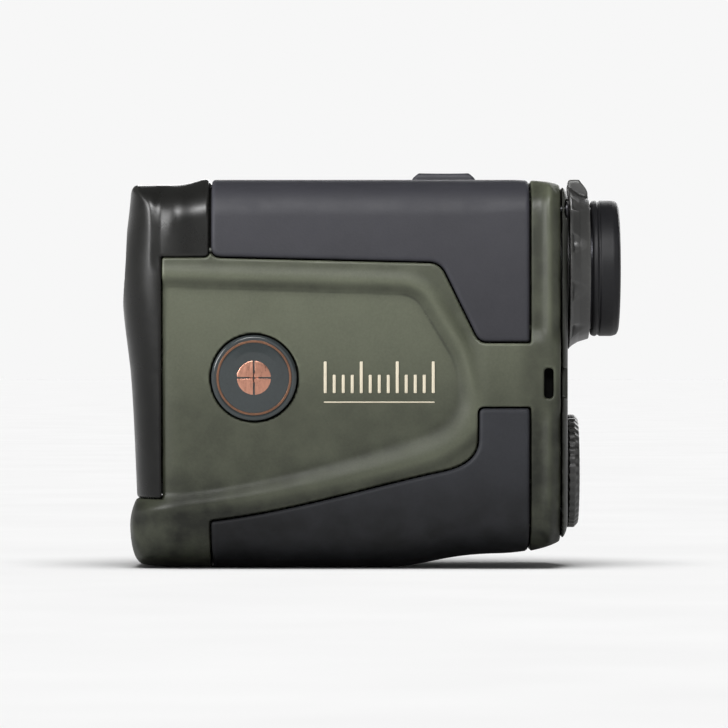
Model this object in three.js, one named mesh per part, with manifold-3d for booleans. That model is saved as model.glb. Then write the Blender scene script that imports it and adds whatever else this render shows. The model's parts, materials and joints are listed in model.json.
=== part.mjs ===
// A pocket laser rangefinder: a monocular with a twist-up eyecup, a diopter ring,
// two top buttons and a battery tube that opens at the rear.
// Millimetres, +Z up, +X from the objective towards the eye, -Y the user's left side.
// The origin is the middle of the footprint, on the surface that the foot stands on.
import * as THREE from "three";
import { mergeVertices } from "three/addons/utils/BufferGeometryUtils.js";
import Module from "manifold-3d";

const wasm = await Module();
wasm.setup();

// ---------------------------------------------------------------- driving dimensions
const LENGTH = 98; // bezel to eyecup rim
const HEIGHT = 78; // foot to the crown of the range button
const WIDTH = 38;
const GAP = 0.3; // between pieces that meet
const CURVE_STEPS = 4; // straight pieces to each curve of an outline
const INNER_STEPS = 3; // the same, for surfaces that the armour or the casing hides
const ARC_STEPS = 2; // half the straight pieces to each rounded corner of the body

const FRONT = -LENGTH / 2;
const EYE_END = LENGTH / 2;
const HALF_WIDTH = WIDTH / 2;
const REAR = 38.5; // outer face of the rear plate
const TOP = 76.4; // crown of the armour
const BROW = 75.3; // top of the front bezel, a step below the armour

const SIGHT_Z = 59.1; // axis of the objective, prisms and eyepiece
const RECEIVER_Z = 28; // axis of the laser receiver
const BATTERY_Z = 18.9; // axis of the battery tube

const ARMOUR = 1.4; // rubber thickness
const UNDER_ARMOUR = ARMOUR + GAP;
const SHELL = 3.5; // armour, gap and casing wall together
const BEZEL_WALL = 2.2;
const BEZEL_BACK = -41; // where the bezel meets the casing
const COWL_FOOT = 61; // above this the bezel runs back over the casing, as far as the armour
const SHELF_Z = 13.9; // lowest point of the bezel
const PLATE_FRONT = 37.3; // inner face of the rear plate
const CASING_REAR = PLATE_FRONT - GAP;
const CAVITY_REAR = REAR - SHELL;

const RANGE_TRAVEL = 0.8;
const MODE_TRAVEL = 0.6;
const DIOPTER_SWING = 50; // degrees each way
const DIOPTER_STROKE = 0.6; // of the ocular cell, each way
const EYECUP_TWIST = 110; // degrees
const EYECUP_STROKE = 4;

// ---------------------------------------------------------------- colours
const finish = (color, roughness, metalness = 0) =>
  new THREE.MeshStandardMaterial({ color, roughness, metalness });
const OLIVE = finish(0x5f6152, 0.55);
const RUBBER = finish(0x3c3c42, 0.75);
const BLACK = finish(0x26262a, 0.5);
const ANODISED = finish(0x1d1d1f, 0.35, 0.6);
const GLASS = finish(0xa8c4b8, 0.05);
const STEEL = finish(0xb9bcc0, 0.3, 1);
const BLACK_STEEL = finish(0x2b2c2e, 0.4, 1);
const BRASS = finish(0xc9a24a, 0.3, 1);
const SEAL = finish(0x121212, 0.7);
const BOARD = finish(0x1f5a33, 0.5);
const CHIP = finish(0x17181a, 0.45);
const FLEX = finish(0xb5792a, 0.5);
const CELL_WRAP = finish(0x3a5fa0, 0.4);
const CASTING = finish(0x8e9196, 0.5, 0.8);
const EMBLEM = finish(0xb98a76, 0.3, 0.8);

// ---------------------------------------------------------------- solids
function solid(geometry) {
  const bare = geometry.index ? geometry.toNonIndexed() : geometry.clone();
  bare.deleteAttribute("normal");
  bare.deleteAttribute("uv");
  const merged = mergeVertices(bare, 1e-4);
  return new wasm.Manifold(
    new wasm.Mesh({
      numProp: 3,
      vertProperties: merged.attributes.position.array,
      triVerts: new Uint32Array(merged.index.array),
    }),
  );
}

function geometryOf(body) {
  const mesh = body.getMesh();
  const geometry = new THREE.BufferGeometry();
  geometry.setAttribute("position", new THREE.BufferAttribute(mesh.vertProperties, 3));
  geometry.setIndex(new THREE.BufferAttribute(mesh.triVerts, 1));
  return geometry;
}

const add = (first, ...others) => others.reduce((sum, other) => sum.add(other), first);
const cut = (first, ...others) => others.reduce((rest, other) => rest.subtract(other), first);
const common = (first, ...others) => others.reduce((all, other) => all.intersect(other), first);

function block([x0, x1], [y0, y1], [z0, z1]) {
  const box = new THREE.BoxGeometry(x1 - x0, y1 - y0, z1 - z0);
  return solid(box.translate((x0 + x1) / 2, (y0 + y1) / 2, (z0 + z1) / 2));
}

const distinct = (list) => list.filter((p, i) => p.distanceTo(list[(i + 1) % list.length]) > 1e-3);

function prism(outline, from, to) {
  const corners = outline instanceof THREE.Shape ? outline.getPoints(CURVE_STEPS) : outline;
  const shape = new THREE.Shape(distinct(corners));
  return new THREE.ExtrudeGeometry(shape, { depth: to - from, bevelEnabled: false })
    .translate(0, 0, from);
}

const points = (list) => list.map(([a, b]) => new THREE.Vector2(a, b));

// Extrusions of an outline in (x, z) along Y, in (y, z) along X and in (x, y) along Z.
const alongY = (outline, y0, y1) => solid(prism(outline, -y1, -y0).rotateX(Math.PI / 2));
const YZ_TO_X = new THREE.Matrix4().makeBasis(
  new THREE.Vector3(0, 1, 0),
  new THREE.Vector3(0, 0, 1),
  new THREE.Vector3(1, 0, 0),
);
const alongX = (outline, x0, x1) => solid(prism(outline, x0, x1).applyMatrix4(YZ_TO_X));
const alongZ = (outline, z0, z1) => solid(prism(outline, z0, z1));

// A turned piece about the X axis at height z: the profile holds [x, radius] pairs and closes.
function turned(profile, z, segments = 24) {
  const closed = [...profile, profile[0]];
  const lathe = new THREE.LatheGeometry(points(closed.map(([x, r]) => [r, x])), segments);
  return solid(lathe.rotateZ(-Math.PI / 2).rotateX(Math.PI / 2).translate(0, 0, z));
}

const tube = (x0, x1, inner, outer, z, segments) =>
  turned([[x0, inner], [x0, outer], [x1, outer], [x1, inner]], z, segments);

function rod([x0, x1], radius, [y, z], segments = 20) {
  const shaft = new THREE.CylinderGeometry(radius, radius, x1 - x0, segments);
  return solid(shaft.rotateZ(Math.PI / 2).translate((x0 + x1) / 2, y, z));
}

function post([z0, z1], radius, [x, y], segments = 20) {
  const shaft = new THREE.CylinderGeometry(radius, radius, z1 - z0, segments);
  return solid(shaft.rotateX(Math.PI / 2).translate(x, y, (z0 + z1) / 2));
}

// A round pin that points away from the sight axis, at an angle from +Y towards +Z.
function radialPin(x, [r0, r1], radius, degrees, segments = 8) {
  const shaft = new THREE.CylinderGeometry(radius, radius, r1 - r0, segments);
  shaft.translate(0, (r0 + r1) / 2, 0).rotateX(THREE.MathUtils.degToRad(degrees));
  return solid(shaft.translate(x, 0, SIGHT_Z));
}

// The slot that such a pin sweeps as it turns from one angle to another and moves along X.
function pinTrack(fromX, toX, [r0, r1], radius, fromDegrees, toDegrees, steps) {
  const stops = Array.from({ length: steps + 1 }, (_, i) => {
    const share = i / steps;
    const x = fromX + (toX - fromX) * share;
    return radialPin(x, [r0, r1], radius, fromDegrees + (toDegrees - fromDegrees) * share, 6);
  });
  const spans = stops.slice(1).map((stop, i) => wasm.Manifold.hull([stops[i], stop]));
  return add(...spans);
}

// ---------------------------------------------------------------- body envelope
// The side outline, from the front of the foot round to the brow and down the bezel.
function sideOutline(steps) {
  const side = new THREE.Shape();
  side.moveTo(-44.8, 0.5);
  side.quadraticCurveTo(-41, 0, -36, 0);
  side.lineTo(5, 0); // the flat foot
  side.bezierCurveTo(12, 0.4, 14, 2.4, 26, 2.6); // the belly rises towards the eye
  side.quadraticCurveTo(33.5, 3.1, 37, 5.4);
  side.quadraticCurveTo(REAR, 6.6, REAR, 9.5);
  side.lineTo(REAR, 72.4);
  side.quadraticCurveTo(REAR, 75.4, 34.5, 75.9);
  side.quadraticCurveTo(30, TOP, 27, TOP);
  side.lineTo(-33, TOP);
  side.quadraticCurveTo(-36, BROW, -39, BROW);
  side.lineTo(-45.8, BROW);
  side.quadraticCurveTo(-47.1, BROW, -47.3, 73.4);
  side.bezierCurveTo(-47.9, 66, -49, 62, FRONT, 56); // the bezel swells round the objective
  side.bezierCurveTo(FRONT, 50, -48.2, 46, -47.4, 39);
  side.bezierCurveTo(-46.8, 32, -46.6, 26, -46.1, 13.8);
  side.quadraticCurveTo(-47.4, 11.4, -47.5, 8.5); // the chin
  side.quadraticCurveTo(-47.4, 1, -44.8, 0.5);
  return side.getPoints(steps);
}

// A cross-section in (y, z) or a plan in (x, y): a rectangle with a radius on each pair of corners.
function roundedOutline([a0, a1], [b0, b1], lowRadius, highRadius, pairAlongA) {
  const [r00, r10, r11, r01] = pairAlongA
    ? [lowRadius, highRadius, highRadius, lowRadius]
    : [lowRadius, lowRadius, highRadius, highRadius];
  const outline = new THREE.Shape();
  outline.absarc(a0 + r00, b0 + r00, r00, Math.PI, 1.5 * Math.PI);
  outline.absarc(a1 - r10, b0 + r10, r10, 1.5 * Math.PI, 2 * Math.PI);
  outline.absarc(a1 - r11, b1 - r11, r11, 0, 0.5 * Math.PI);
  outline.absarc(a0 + r01, b1 - r01, r01, 0.5 * Math.PI, Math.PI);
  return outline;
}

// Where two edges meet, each a point and a unit direction.
function crossing(first, second) {
  const turn = first.along.cross(second.along);
  const reach = second.from.clone().sub(first.from).cross(second.along) / turn;
  return first.from.clone().addScaledVector(first.along, reach);
}

// Moves each edge of a closed outline inwards by the same distance; edges that vanish are dropped.
function inset(outline, distance) {
  const corners = distinct(THREE.ShapeUtils.area(outline) > 0 ? outline : [...outline].reverse());
  let edges = corners.map((corner, i) => {
    const along = corners[(i + 1) % corners.length].clone().sub(corner).normalize();
    const inward = new THREE.Vector2(-along.y, along.x);
    return { along, from: corner.clone().addScaledVector(inward, distance) };
  });
  for (;;) {
    const count = edges.length;
    const ends = edges.map((edge, i) => crossing(edges[(i + count - 1) % count], edge));
    const kept = edges.filter((edge, i) => ends[(i + 1) % count].clone().sub(ends[i]).dot(edge.along) > 0);
    if (kept.length === count) return ends;
    edges = kept;
  }
}

const throughBody = (outline) => alongY(outline, -HALF_WIDTH - 1, HALF_WIDTH + 1);

const FOOT_RADIUS = 11;
const CROWN_RADIUS = 7;
const NOSE_RADIUS = 9;
const TAIL_RADIUS = 4;

// The whole body, or the space left when its surface moves inwards.
function envelope(depth) {
  const side = depth > 0 ? inset(sideOutline(INNER_STEPS), depth) : sideOutline(CURVE_STEPS);
  const half = HALF_WIDTH - depth;
  const section = roundedOutline([-half, half], [depth, TOP - depth],
    FOOT_RADIUS - depth, CROWN_RADIUS - depth, false);
  const plan = roundedOutline([FRONT + depth, REAR - depth], [-half, half],
    NOSE_RADIUS - depth, Math.max(TAIL_RADIUS - depth, 1), true);
  return common(
    throughBody(side),
    alongX(section.getPoints(ARC_STEPS), FRONT - 1, EYE_END),
    alongZ(plan.getPoints(ARC_STEPS), -1, HEIGHT + 1),
  );
}

const body = envelope(0);
const underArmour = envelope(UNDER_ARMOUR);
const cavity = envelope(SHELL);

// ---------------------------------------------------------------- regions on the flanks, in (x, z)
const ARMOUR_X = [-31.4, 31]; // front and rear edges of both armour pieces
const BELT_X = 20.9; // where the bare belt begins, behind the recessed panel
const BELT_LOW = 31.6;
const BELT_HIGH = 44.3;

function upperRegion(grow) {
  const [front, rear] = ARMOUR_X;
  return points([
    [front - grow, 61 - grow],
    [13 - grow / 2, 59.8 - grow],
    [BELT_X - grow / 2, BELT_HIGH - grow],
    [rear + grow, BELT_HIGH - grow],
    [rear + grow, HEIGHT + 2],
    [front - grow, HEIGHT + 2],
  ]);
}

function lowerRegion(grow) {
  const [front, rear] = ARMOUR_X;
  const region = new THREE.Shape();
  region.moveTo(front - grow, -2);
  region.lineTo(rear + grow, -2);
  region.lineTo(rear + grow, BELT_LOW + grow);
  region.lineTo(BELT_X - grow, BELT_LOW + grow);
  region.lineTo(BELT_X - grow, 25 + grow);
  region.quadraticCurveTo(20.6 - grow, 20.6 + grow, 14, 19.2 + grow);
  region.bezierCurveTo(0, 16.2 + grow, -16, 11.2 + grow, front - grow, 9.4 + grow);
  return region;
}

const cowlRegion = (grow) => block(
  [BEZEL_BACK - 1, ARMOUR_X[0] - GAP + grow],
  [-HALF_WIDTH - 1, HALF_WIDTH + 1],
  [COWL_FOOT - grow, HEIGHT + 1],
);

// The recessed panel that carries the emblem.
const PANEL_DEPTH = 0.8;
function panelRegion() {
  const region = new THREE.Shape();
  region.moveTo(BEZEL_BACK - 1, 14.6);
  region.bezierCurveTo(-26, 15.4, -12, 19.6, 10.5, 26.6);
  region.quadraticCurveTo(16.6, 28.6, 17.4, BELT_LOW + 1.5);
  region.lineTo(16.2, 42);
  region.lineTo(9.6, 52.8);
  region.quadraticCurveTo(8.6, 54.3, 6.4, 54.4);
  region.lineTo(BEZEL_BACK - 1, 55.8);
  return region;
}

const EMBLEM_PLACE = [-22.9, 37.4];
const EMBLEM_RADIUS = 8.4;
const EMBLEM_FLOOR = 16.7; // distance of the emblem's seat from the middle plane

// ---------------------------------------------------------------- buttons
const POCKET_FLOOR = 74.1;
const SWITCH_TOP = 72.3;
const STEM_RADIUS = 2;
const RANGE_BUTTON = { x: [7.9, 20.7], y: [-5.6, 5.6], foot: POCKET_FLOOR + GAP + RANGE_TRAVEL };
const MODE_BUTTON = { x: -3, radius: 3.6, crown: 76.2, foot: POCKET_FLOOR + GAP + MODE_TRAVEL };
const RANGE_BUTTON_X = (RANGE_BUTTON.x[0] + RANGE_BUTTON.x[1]) / 2;

const buttonOpenings = add(
  block(
    [RANGE_BUTTON.x[0] - GAP, RANGE_BUTTON.x[1] + GAP],
    [RANGE_BUTTON.y[0] - GAP, RANGE_BUTTON.y[1] + GAP],
    [POCKET_FLOOR, HEIGHT + 1],
  ),
  post([POCKET_FLOOR, HEIGHT + 1], MODE_BUTTON.radius + GAP, [MODE_BUTTON.x, 0]),
  post([70, POCKET_FLOOR + 1], STEM_RADIUS + GAP, [RANGE_BUTTON_X, 0], 16),
  post([70, POCKET_FLOOR + 1], STEM_RADIUS + GAP, [MODE_BUTTON.x, 0], 16),
);

const buttonStem = (travel, foot, x) =>
  post([SWITCH_TOP + GAP + travel, foot + 0.5], STEM_RADIUS, [x, 0], 16);

function rangeButton() {
  const [x0, x1] = RANGE_BUTTON.x;
  const crown = new THREE.Shape();
  crown.moveTo(x0, RANGE_BUTTON.foot);
  crown.lineTo(x1, RANGE_BUTTON.foot);
  crown.lineTo(x1, 77);
  crown.lineTo(x1 - 0.9, HEIGHT);
  crown.quadraticCurveTo(RANGE_BUTTON_X, HEIGHT - 0.9, x0 + 0.9, HEIGHT); // finger dish
  crown.lineTo(x0, 77);
  const cap = alongY(crown, ...RANGE_BUTTON.y);
  return add(cap, buttonStem(RANGE_TRAVEL, RANGE_BUTTON.foot, RANGE_BUTTON_X));
}

function modeButton() {
  const { x, radius, crown, foot } = MODE_BUTTON;
  return add(post([foot, crown], radius, [x, 0]), buttonStem(MODE_TRAVEL, foot, x));
}

// ---------------------------------------------------------------- casing, armour, bezel, rear plate
const HUB_HOLE = 12.7; // for the diopter ring's hub
const MOUTH_HOLE = 11.4; // for the mouth of the battery tube
const SCREWS = [[-14.4, 70.4], [14.4, 70.4], [-12, 11.6], [12, 11.6]];
const SCREW_HOLE = 1;
const SCREW_SEAT = 37.8; // floor of each counterbore in the rear plate
const SCREW_HEAD = [38, REAR];

const rearHoles = add(
  rod([CAVITY_REAR - 2, REAR + 1], HUB_HOLE, [0, SIGHT_Z], 28),
  rod([CAVITY_REAR - 2, CASING_REAR + 0.1], MOUTH_HOLE, [0, BATTERY_Z], 24),
  ...SCREWS.map((place) => rod([30, REAR + 1], SCREW_HOLE, place, 8)),
);

// The cord's way round the corner: in at the flank, out at the rear face.
const LANYARD_Z = [33.4, 39.3];
const LANYARD_SLOT_X = [33.7, 35.5];
const LANYARD_INNER = 15.9;
const lanyardWay = (side) => {
  const across = (a, b) => (side < 0 ? [-b, -a] : [a, b]);
  return add(
    block(LANYARD_SLOT_X, across(LANYARD_INNER, HALF_WIDTH + 1), LANYARD_Z),
    block([LANYARD_SLOT_X[0], REAR + 1], across(LANYARD_INNER, 17.4), LANYARD_Z),
  );
};

function casing(side) {
  const across = side < 0 ? [-HALF_WIDTH - 1, -GAP / 2] : [GAP / 2, HALF_WIDTH + 1];
  const panelFloor = HALF_WIDTH - PANEL_DEPTH;
  const skin = side < 0 ? [-HALF_WIDTH - 1, -panelFloor] : [panelFloor, HALF_WIDTH + 1];
  const half = common(body, block([FRONT - 1, CASING_REAR], across, [-1, HEIGHT + 1]));
  const seat = common(underArmour, half);
  const bare = cut(
    half,
    throughBody(upperRegion(GAP)),
    throughBody(lowerRegion(GAP)),
    cowlRegion(GAP),
  );
  const [x, z] = EMBLEM_PLACE;
  const emblemHole = new THREE.CylinderGeometry(EMBLEM_RADIUS + GAP, EMBLEM_RADIUS + GAP, 6, 24)
    .translate(x, side * (EMBLEM_FLOOR + 3), z);
  return cut(
    add(seat, bare),
    cavity,
    block([FRONT - 1, BEZEL_BACK + GAP], across, [SHELF_Z - GAP, HEIGHT]),
    alongY(panelRegion(), ...skin),
    solid(emblemHole),
    buttonOpenings,
    rearHoles,
    lanyardWay(side),
  );
}

function armourTop() {
  const saddle = common(body, throughBody(upperRegion(0)));
  return cut(saddle, envelope(ARMOUR), buttonOpenings);
}

function armourBottom() {
  const saddle = common(body, throughBody(lowerRegion(0)));
  return cut(saddle, envelope(ARMOUR));
}

const OBJECTIVE_CELL = 12.4;
const RECEIVER_CELL = 9.9;
const COLLAR = 1.1; // wall of the bezel's collars round both cells

function frontBezel() {
  const outer = common(body, block([FRONT - 1, BEZEL_BACK], [-20, 20], [SHELF_Z, HEIGHT]));
  const collars = add(
    tube(-46.5, BEZEL_BACK, OBJECTIVE_CELL + 0.4, OBJECTIVE_CELL + 0.4 + COLLAR, SIGHT_Z, 24),
    tube(-45.5, BEZEL_BACK, RECEIVER_CELL + 0.4, RECEIVER_CELL + 0.4 + COLLAR, RECEIVER_Z, 24),
  );
  const cowl = cut(common(body, cowlRegion(0)), envelope(ARMOUR));
  const hood = add(cut(outer, envelope(BEZEL_WALL)), common(collars, outer), cowl);
  const objectiveMouth = turned(
    [[-50, 0], [-50, 12.9], [-48, 12.3], [-46.2, 11.2], [-44, 11.2], [-44, 0]], SIGHT_Z, 28);
  const receiverMouth = turned(
    [[-50, 0], [-50, 10.3], [-47.2, 9.7], [-45.4, 8.7], [-43, 8.7], [-43, 0]], RECEIVER_Z, 24);
  return cut(hood, objectiveMouth, receiverMouth);
}

const CAP_SPIGOT_HOLE = 10;
const COUNTERBORE = 1.9;

function rearPlate() {
  const slab = common(body, block([PLATE_FRONT, REAR + 1], [-20, 20], [-1, HEIGHT]));
  return cut(
    slab,
    rearHoles,
    rod([PLATE_FRONT - 1, REAR + 1], CAP_SPIGOT_HOLE, [0, BATTERY_Z], 24),
    ...SCREWS.map((place) => rod([SCREW_SEAT, REAR + 1], COUNTERBORE, place, 12)),
    lanyardWay(-1),
    lanyardWay(1),
  );
}

function rearScrew(place) {
  const shank = rod([31, SCREW_HEAD[0] + 0.1], 0.7, place, 6);
  const socket = rod([SCREW_HEAD[0] + 0.2, REAR + 1], 0.7, place, 6);
  return cut(add(shank, rod(SCREW_HEAD, 1.6, place, 12)), socket);
}

function emblem(side) {
  const [x, z] = EMBLEM_PLACE;
  const rim = EMBLEM_RADIUS;
  const dome = [[0, 0], [rim, 0], [rim, 1.3], [rim - 0.6, 1.7], [3, 1.9], [0, 1.95]];
  const lathe = new THREE.LatheGeometry(points(dome), 24);
  if (side < 0) lathe.rotateZ(Math.PI);
  return solid(lathe.translate(x, side * (EMBLEM_FLOOR + GAP), z));
}

// ---------------------------------------------------------------- chassis
const BULKHEAD = { front: [-40.4, -38], rear: [31.5, 34] };
const SPINE_Y = [-15.1, -13.4];

function chassis() {
  const room = envelope(SHELL + GAP);
  const plate = (x) => common(room, block(x, [-HALF_WIDTH, HALF_WIDTH], [-1, HEIGHT]));
  const spine = block([BULKHEAD.front[0], BULKHEAD.rear[1]], SPINE_Y, [16, 68]);
  const window = block([-30, -4], [-20, -12], [24, 60]);
  const standoffs = [6, 15].map((x) => block([x - 1.5, x + 1.5], [SPINE_Y[1] - 0.5, -11.8], [52, 66]));
  return cut(
    add(plate(BULKHEAD.front), plate(BULKHEAD.rear), cut(spine, window), ...standoffs),
    rod([-42, -37], OBJECTIVE_CELL + GAP, [0, SIGHT_Z], 24),
    rod([-42, -37], RECEIVER_CELL + GAP, [0, RECEIVER_Z], 24),
    rod([31, 35], 10.3, [0, SIGHT_Z], 24),
    rod([31, 35], MOUTH_HOLE, [0, BATTERY_Z], 24),
    ...SCREWS.map((place) => rod([30, 36], SCREW_HOLE, place, 8)),
  );
}

// ---------------------------------------------------------------- objective and receiver
const LENS_RADIUS = 10.6;

const objectiveCell = () => turned([
  [-45, 10.9], [-45, OBJECTIVE_CELL], [-43.6, OBJECTIVE_CELL], [-43.6, 11.5], [-42.4, 11.5],
  [-42.4, OBJECTIVE_CELL], [-30, OBJECTIVE_CELL], [-30, 9.6], [-36.9, 9.6], [-36.9, 10.9],
], SIGHT_Z);
const crownLens = () => turned([
  [-45.2, 0], [-45, 3.6], [-44.4, 7.3], [-43.5, LENS_RADIUS], [-41.6, LENS_RADIUS], [-40.4, 6.5], [-39.9, 0],
], SIGHT_Z, 20);
const flintLens = () => turned([
  [-39.5, 0], [-40, 6.5], [-41.2, LENS_RADIUS], [-37.3, LENS_RADIUS], [-37.8, 0],
], SIGHT_Z, 20);
const objectiveRing = () => tube(-45.1, -44.1, 9.7, LENS_RADIUS, SIGHT_Z, 24);

// A sealing ring of round section about the X axis.
const sealRing = (x, radius, thickness, z, segments) => turned(
  Array.from({ length: 5 }, (_, i) => {
    const angle = (i * 2 * Math.PI) / 5;
    return [x - thickness * Math.cos(angle), radius + thickness * Math.sin(angle)];
  }), z, segments);
const objectiveSeal = () => sealRing(-43, 12.2, 0.4, SIGHT_Z, 24);

const receiverCell = () => turned([
  [-43.7, 8.7], [-43.7, RECEIVER_CELL], [-31, RECEIVER_CELL], [-12, 5.2],
  [-12, 4], [-31, 7.4], [-38, 7.4], [-38, 8.7],
], RECEIVER_Z, 20);
const receiverLens = () => turned([
  [-43.6, 0], [-43.1, 4], [-42, 8.4], [-38.4, 8.4], [-38.4, 0],
], RECEIVER_Z, 20);
const receiverRing = () => tube(-43.6, -42.6, 7.8, 8.4, RECEIVER_Z, 20);
const detectorCan = () => turned([
  [-11.7, 0], [-11.7, 2.4], [-8, 2.4], [-8, 3.1], [-7.5, 3.1], [-7.5, 0],
], RECEIVER_Z, 12);
const detectorBoard = () => block([-7.2, -6.2], [-13.1, 12.9], [RECEIVER_Z - 8, RECEIVER_Z + 8]);

// ---------------------------------------------------------------- prisms and display
// Two prisms of 45, 67.5 and 67.5 degrees face each other across a thin air gap.
const PRISM_X = 3;
const PRISM_SIDE = 17;
const PRISM_HALF_ENTRY = 7;
const PRISM_GAP = 0.57; // along the axis
const PRISM_EXIT_X = PRISM_X + 2 * PRISM_HALF_ENTRY + PRISM_GAP;
const SLANT = PRISM_SIDE * Math.SQRT1_2;

const entrancePrism = () => alongY(points([
  [PRISM_X, SIGHT_Z - PRISM_HALF_ENTRY],
  [PRISM_X + SLANT, SIGHT_Z - PRISM_HALF_ENTRY + SLANT],
  [PRISM_X, SIGHT_Z - PRISM_HALF_ENTRY + PRISM_SIDE],
]), -8, 8);

function roofPrism() {
  const wedge = alongY(points([
    [PRISM_EXIT_X, SIGHT_Z + PRISM_HALF_ENTRY],
    [PRISM_EXIT_X - SLANT, SIGHT_Z + PRISM_HALF_ENTRY - SLANT],
    [PRISM_EXIT_X, SIGHT_Z + PRISM_HALF_ENTRY - PRISM_SIDE],
  ]), -8, 8);
  // The base is ground into a 90 degree roof whose ridge runs along the prism's length.
  const ridge = new THREE.Vector3(Math.cos(Math.PI / 8), 0, -Math.sin(Math.PI / 8));
  const down = new THREE.Vector3(-Math.sin(Math.PI / 8), 0, -Math.cos(Math.PI / 8));
  const roof = new THREE.Matrix4()
    .makeBasis(new THREE.Vector3(0, 1, 0), down, ridge)
    .setPosition(PRISM_EXIT_X, 0, SIGHT_Z + PRISM_HALF_ENTRY - PRISM_SIDE);
  if (roof.determinant() < 0) roof.scale(new THREE.Vector3(-1, 1, 1));
  const gable = prism(points([[-9, -24], [9, -24], [9, -8.2], [0.8, 0], [-0.8, 0], [-9, -8.2]]), -30, 30);
  return common(wedge, solid(gable.applyMatrix4(roof)));
}

function prismCage() {
  const shell = cut(
    block([1.2, 19.4], [-11.5, 11.5], [SIGHT_Z - 11.4, SIGHT_Z + 10.5]),
    block([2.6, 18], [-8.4, 8.4], [SIGHT_Z - 10.4, SIGHT_Z + 12]),
  );
  return cut(shell, rod([0, 21], 6.6, [0, SIGHT_Z], 16), post([40, 52], 2.6, [9.5, 0], 10));
}

const displayModule = () => block([19.7, 21.3], [-8, 8], [SIGHT_Z - 8, SIGHT_Z + 8]);
const fieldStop = () => tube(21.6, 22.4, 5.4, 8.6, SIGHT_Z, 16);
const laserDiode = () => cut(
  add(post([42, 47.4], 2.3, [9.5, 0], 12), post([41, 42.2], 2.9, [9.5, 0], 12)),
  post([46.9, 48], 1.2, [9.5, 0], 10),
);

// ---------------------------------------------------------------- eyepiece
const OCULAR = { inner: 8, outer: 8.9 };
const BARREL = { inner: 9.2, outer: 10, end: 47.4 };
const DIOPTER_PIN = { x: 38.3, radius: 0.55, angle: 90 };
const EYECUP_PIN = { x: 42, radius: 0.55, angle: 200 };
const TRACK_PLAY = 0.3;

const ocularCell = () => tube(27.2, 44, OCULAR.inner, OCULAR.outer, SIGHT_Z, 24);
const fieldLens = () => turned([
  [28.6, 0], [29.6, 7.7], [32, 7.7], [32.9, 0],
], SIGHT_Z, 16);
const eyeLens = () => turned([
  [38.2, 0], [39.4, 7.7], [42.4, 7.7], [43.1, 4.4], [43.4, 0],
], SIGHT_Z, 20);
const diopterPin = () =>
  radialPin(DIOPTER_PIN.x, [9.15, 11.3], DIOPTER_PIN.radius, DIOPTER_PIN.angle);

function eyepieceBarrel() {
  const wall = add(
    tube(29.8, BARREL.end, BARREL.inner, BARREL.outer, SIGHT_Z, 24),
    tube(29.8, 31.2, BARREL.inner, 12.6, SIGHT_Z, 24),
  );
  const through = [BARREL.inner - 1, BARREL.outer + 1];
  const diopterSlot = pinTrack(
    DIOPTER_PIN.x - DIOPTER_STROKE, DIOPTER_PIN.x + DIOPTER_STROKE,
    through, DIOPTER_PIN.radius + TRACK_PLAY, DIOPTER_PIN.angle, DIOPTER_PIN.angle, 1);
  const eyecupTrack = pinTrack(
    EYECUP_PIN.x, EYECUP_PIN.x + EYECUP_STROKE,
    through, EYECUP_PIN.radius + TRACK_PLAY, EYECUP_PIN.angle, EYECUP_PIN.angle + EYECUP_TWIST, 6);
  return cut(wall, diopterSlot, eyecupTrack);
}

const GRIP_COUNT = 10;

function diopterRing() {
  const ring = turned([
    [36, 10.3], [36, 12.3], [38.9, 12.3], [38.9, 16.3], [39.8, 15.3], [41, 14.5], [43.1, 13.9],
    [43.1, 12.7], [40.6, 12.7], [40.6, 10.3],
  ], SIGHT_Z, 32);
  const grips = Array.from({ length: GRIP_COUNT - 1 }, (_, i) => {
    const angle = Math.PI / 2 + ((i + 1) * 2 * Math.PI) / GRIP_COUNT;
    const reach = 16.6;
    return rod([39.7, 44], 2, [reach * Math.cos(angle), SIGHT_Z + reach * Math.sin(angle)], 8);
  });
  const fin = alongY(points([
    [38.9, SIGHT_Z + 13.4], [38.9, SIGHT_Z + 16.8], [39.7, SIGHT_Z + 17.6],
    [41.6, SIGHT_Z + 17.6], [42.9, SIGHT_Z + 14.6], [42.9, SIGHT_Z + 13.4],
  ]), -2.4, 2.4);
  // The ring turns round a pin that only slides, so the pin's track in it runs the other way.
  const track = pinTrack(
    DIOPTER_PIN.x + DIOPTER_STROKE, DIOPTER_PIN.x - DIOPTER_STROKE,
    [9.8, 11.7], DIOPTER_PIN.radius + TRACK_PLAY,
    DIOPTER_PIN.angle - DIOPTER_SWING, DIOPTER_PIN.angle + DIOPTER_SWING, 5);
  return cut(add(cut(ring, ...grips), fin), track);
}

function camSleeve() {
  const wall = tube(40.9, BARREL.end, 10.3, 11, SIGHT_Z, 24);
  return cut(wall, pinTrack(
    EYECUP_PIN.x, EYECUP_PIN.x + EYECUP_STROKE,
    [9.8, 11.5], EYECUP_PIN.radius + TRACK_PLAY, EYECUP_PIN.angle, EYECUP_PIN.angle, 1));
}

const eyecupCore = () => cut(
  tube(40.9, 48, 11.3, 12.1, SIGHT_Z, 24),
  radialPin(EYECUP_PIN.x, [10.8, 13], EYECUP_PIN.radius + TRACK_PLAY, EYECUP_PIN.angle, 8),
);
const eyecupPin = () => radialPin(EYECUP_PIN.x, [9.4, 12], EYECUP_PIN.radius, EYECUP_PIN.angle);
const eyecupRubber = () => turned([
  [43.4, 12.4], [43.4, 13.2], [43.8, 13.5], [47.9, 13.5], [48.7, 13.1], [EYE_END, 12.3],
  [EYE_END, 11.5], [48.6, 10.9], [48.3, 11.3], [48.3, 12.4],
], SIGHT_Z, 28);

// ---------------------------------------------------------------- battery and cap
const CELL_RADIUS = 7.8;
const CELL_SPAN = [8.7, 35.7]; // a 27 mm lithium cell
const TUBE_BORE = 8.1;

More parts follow.
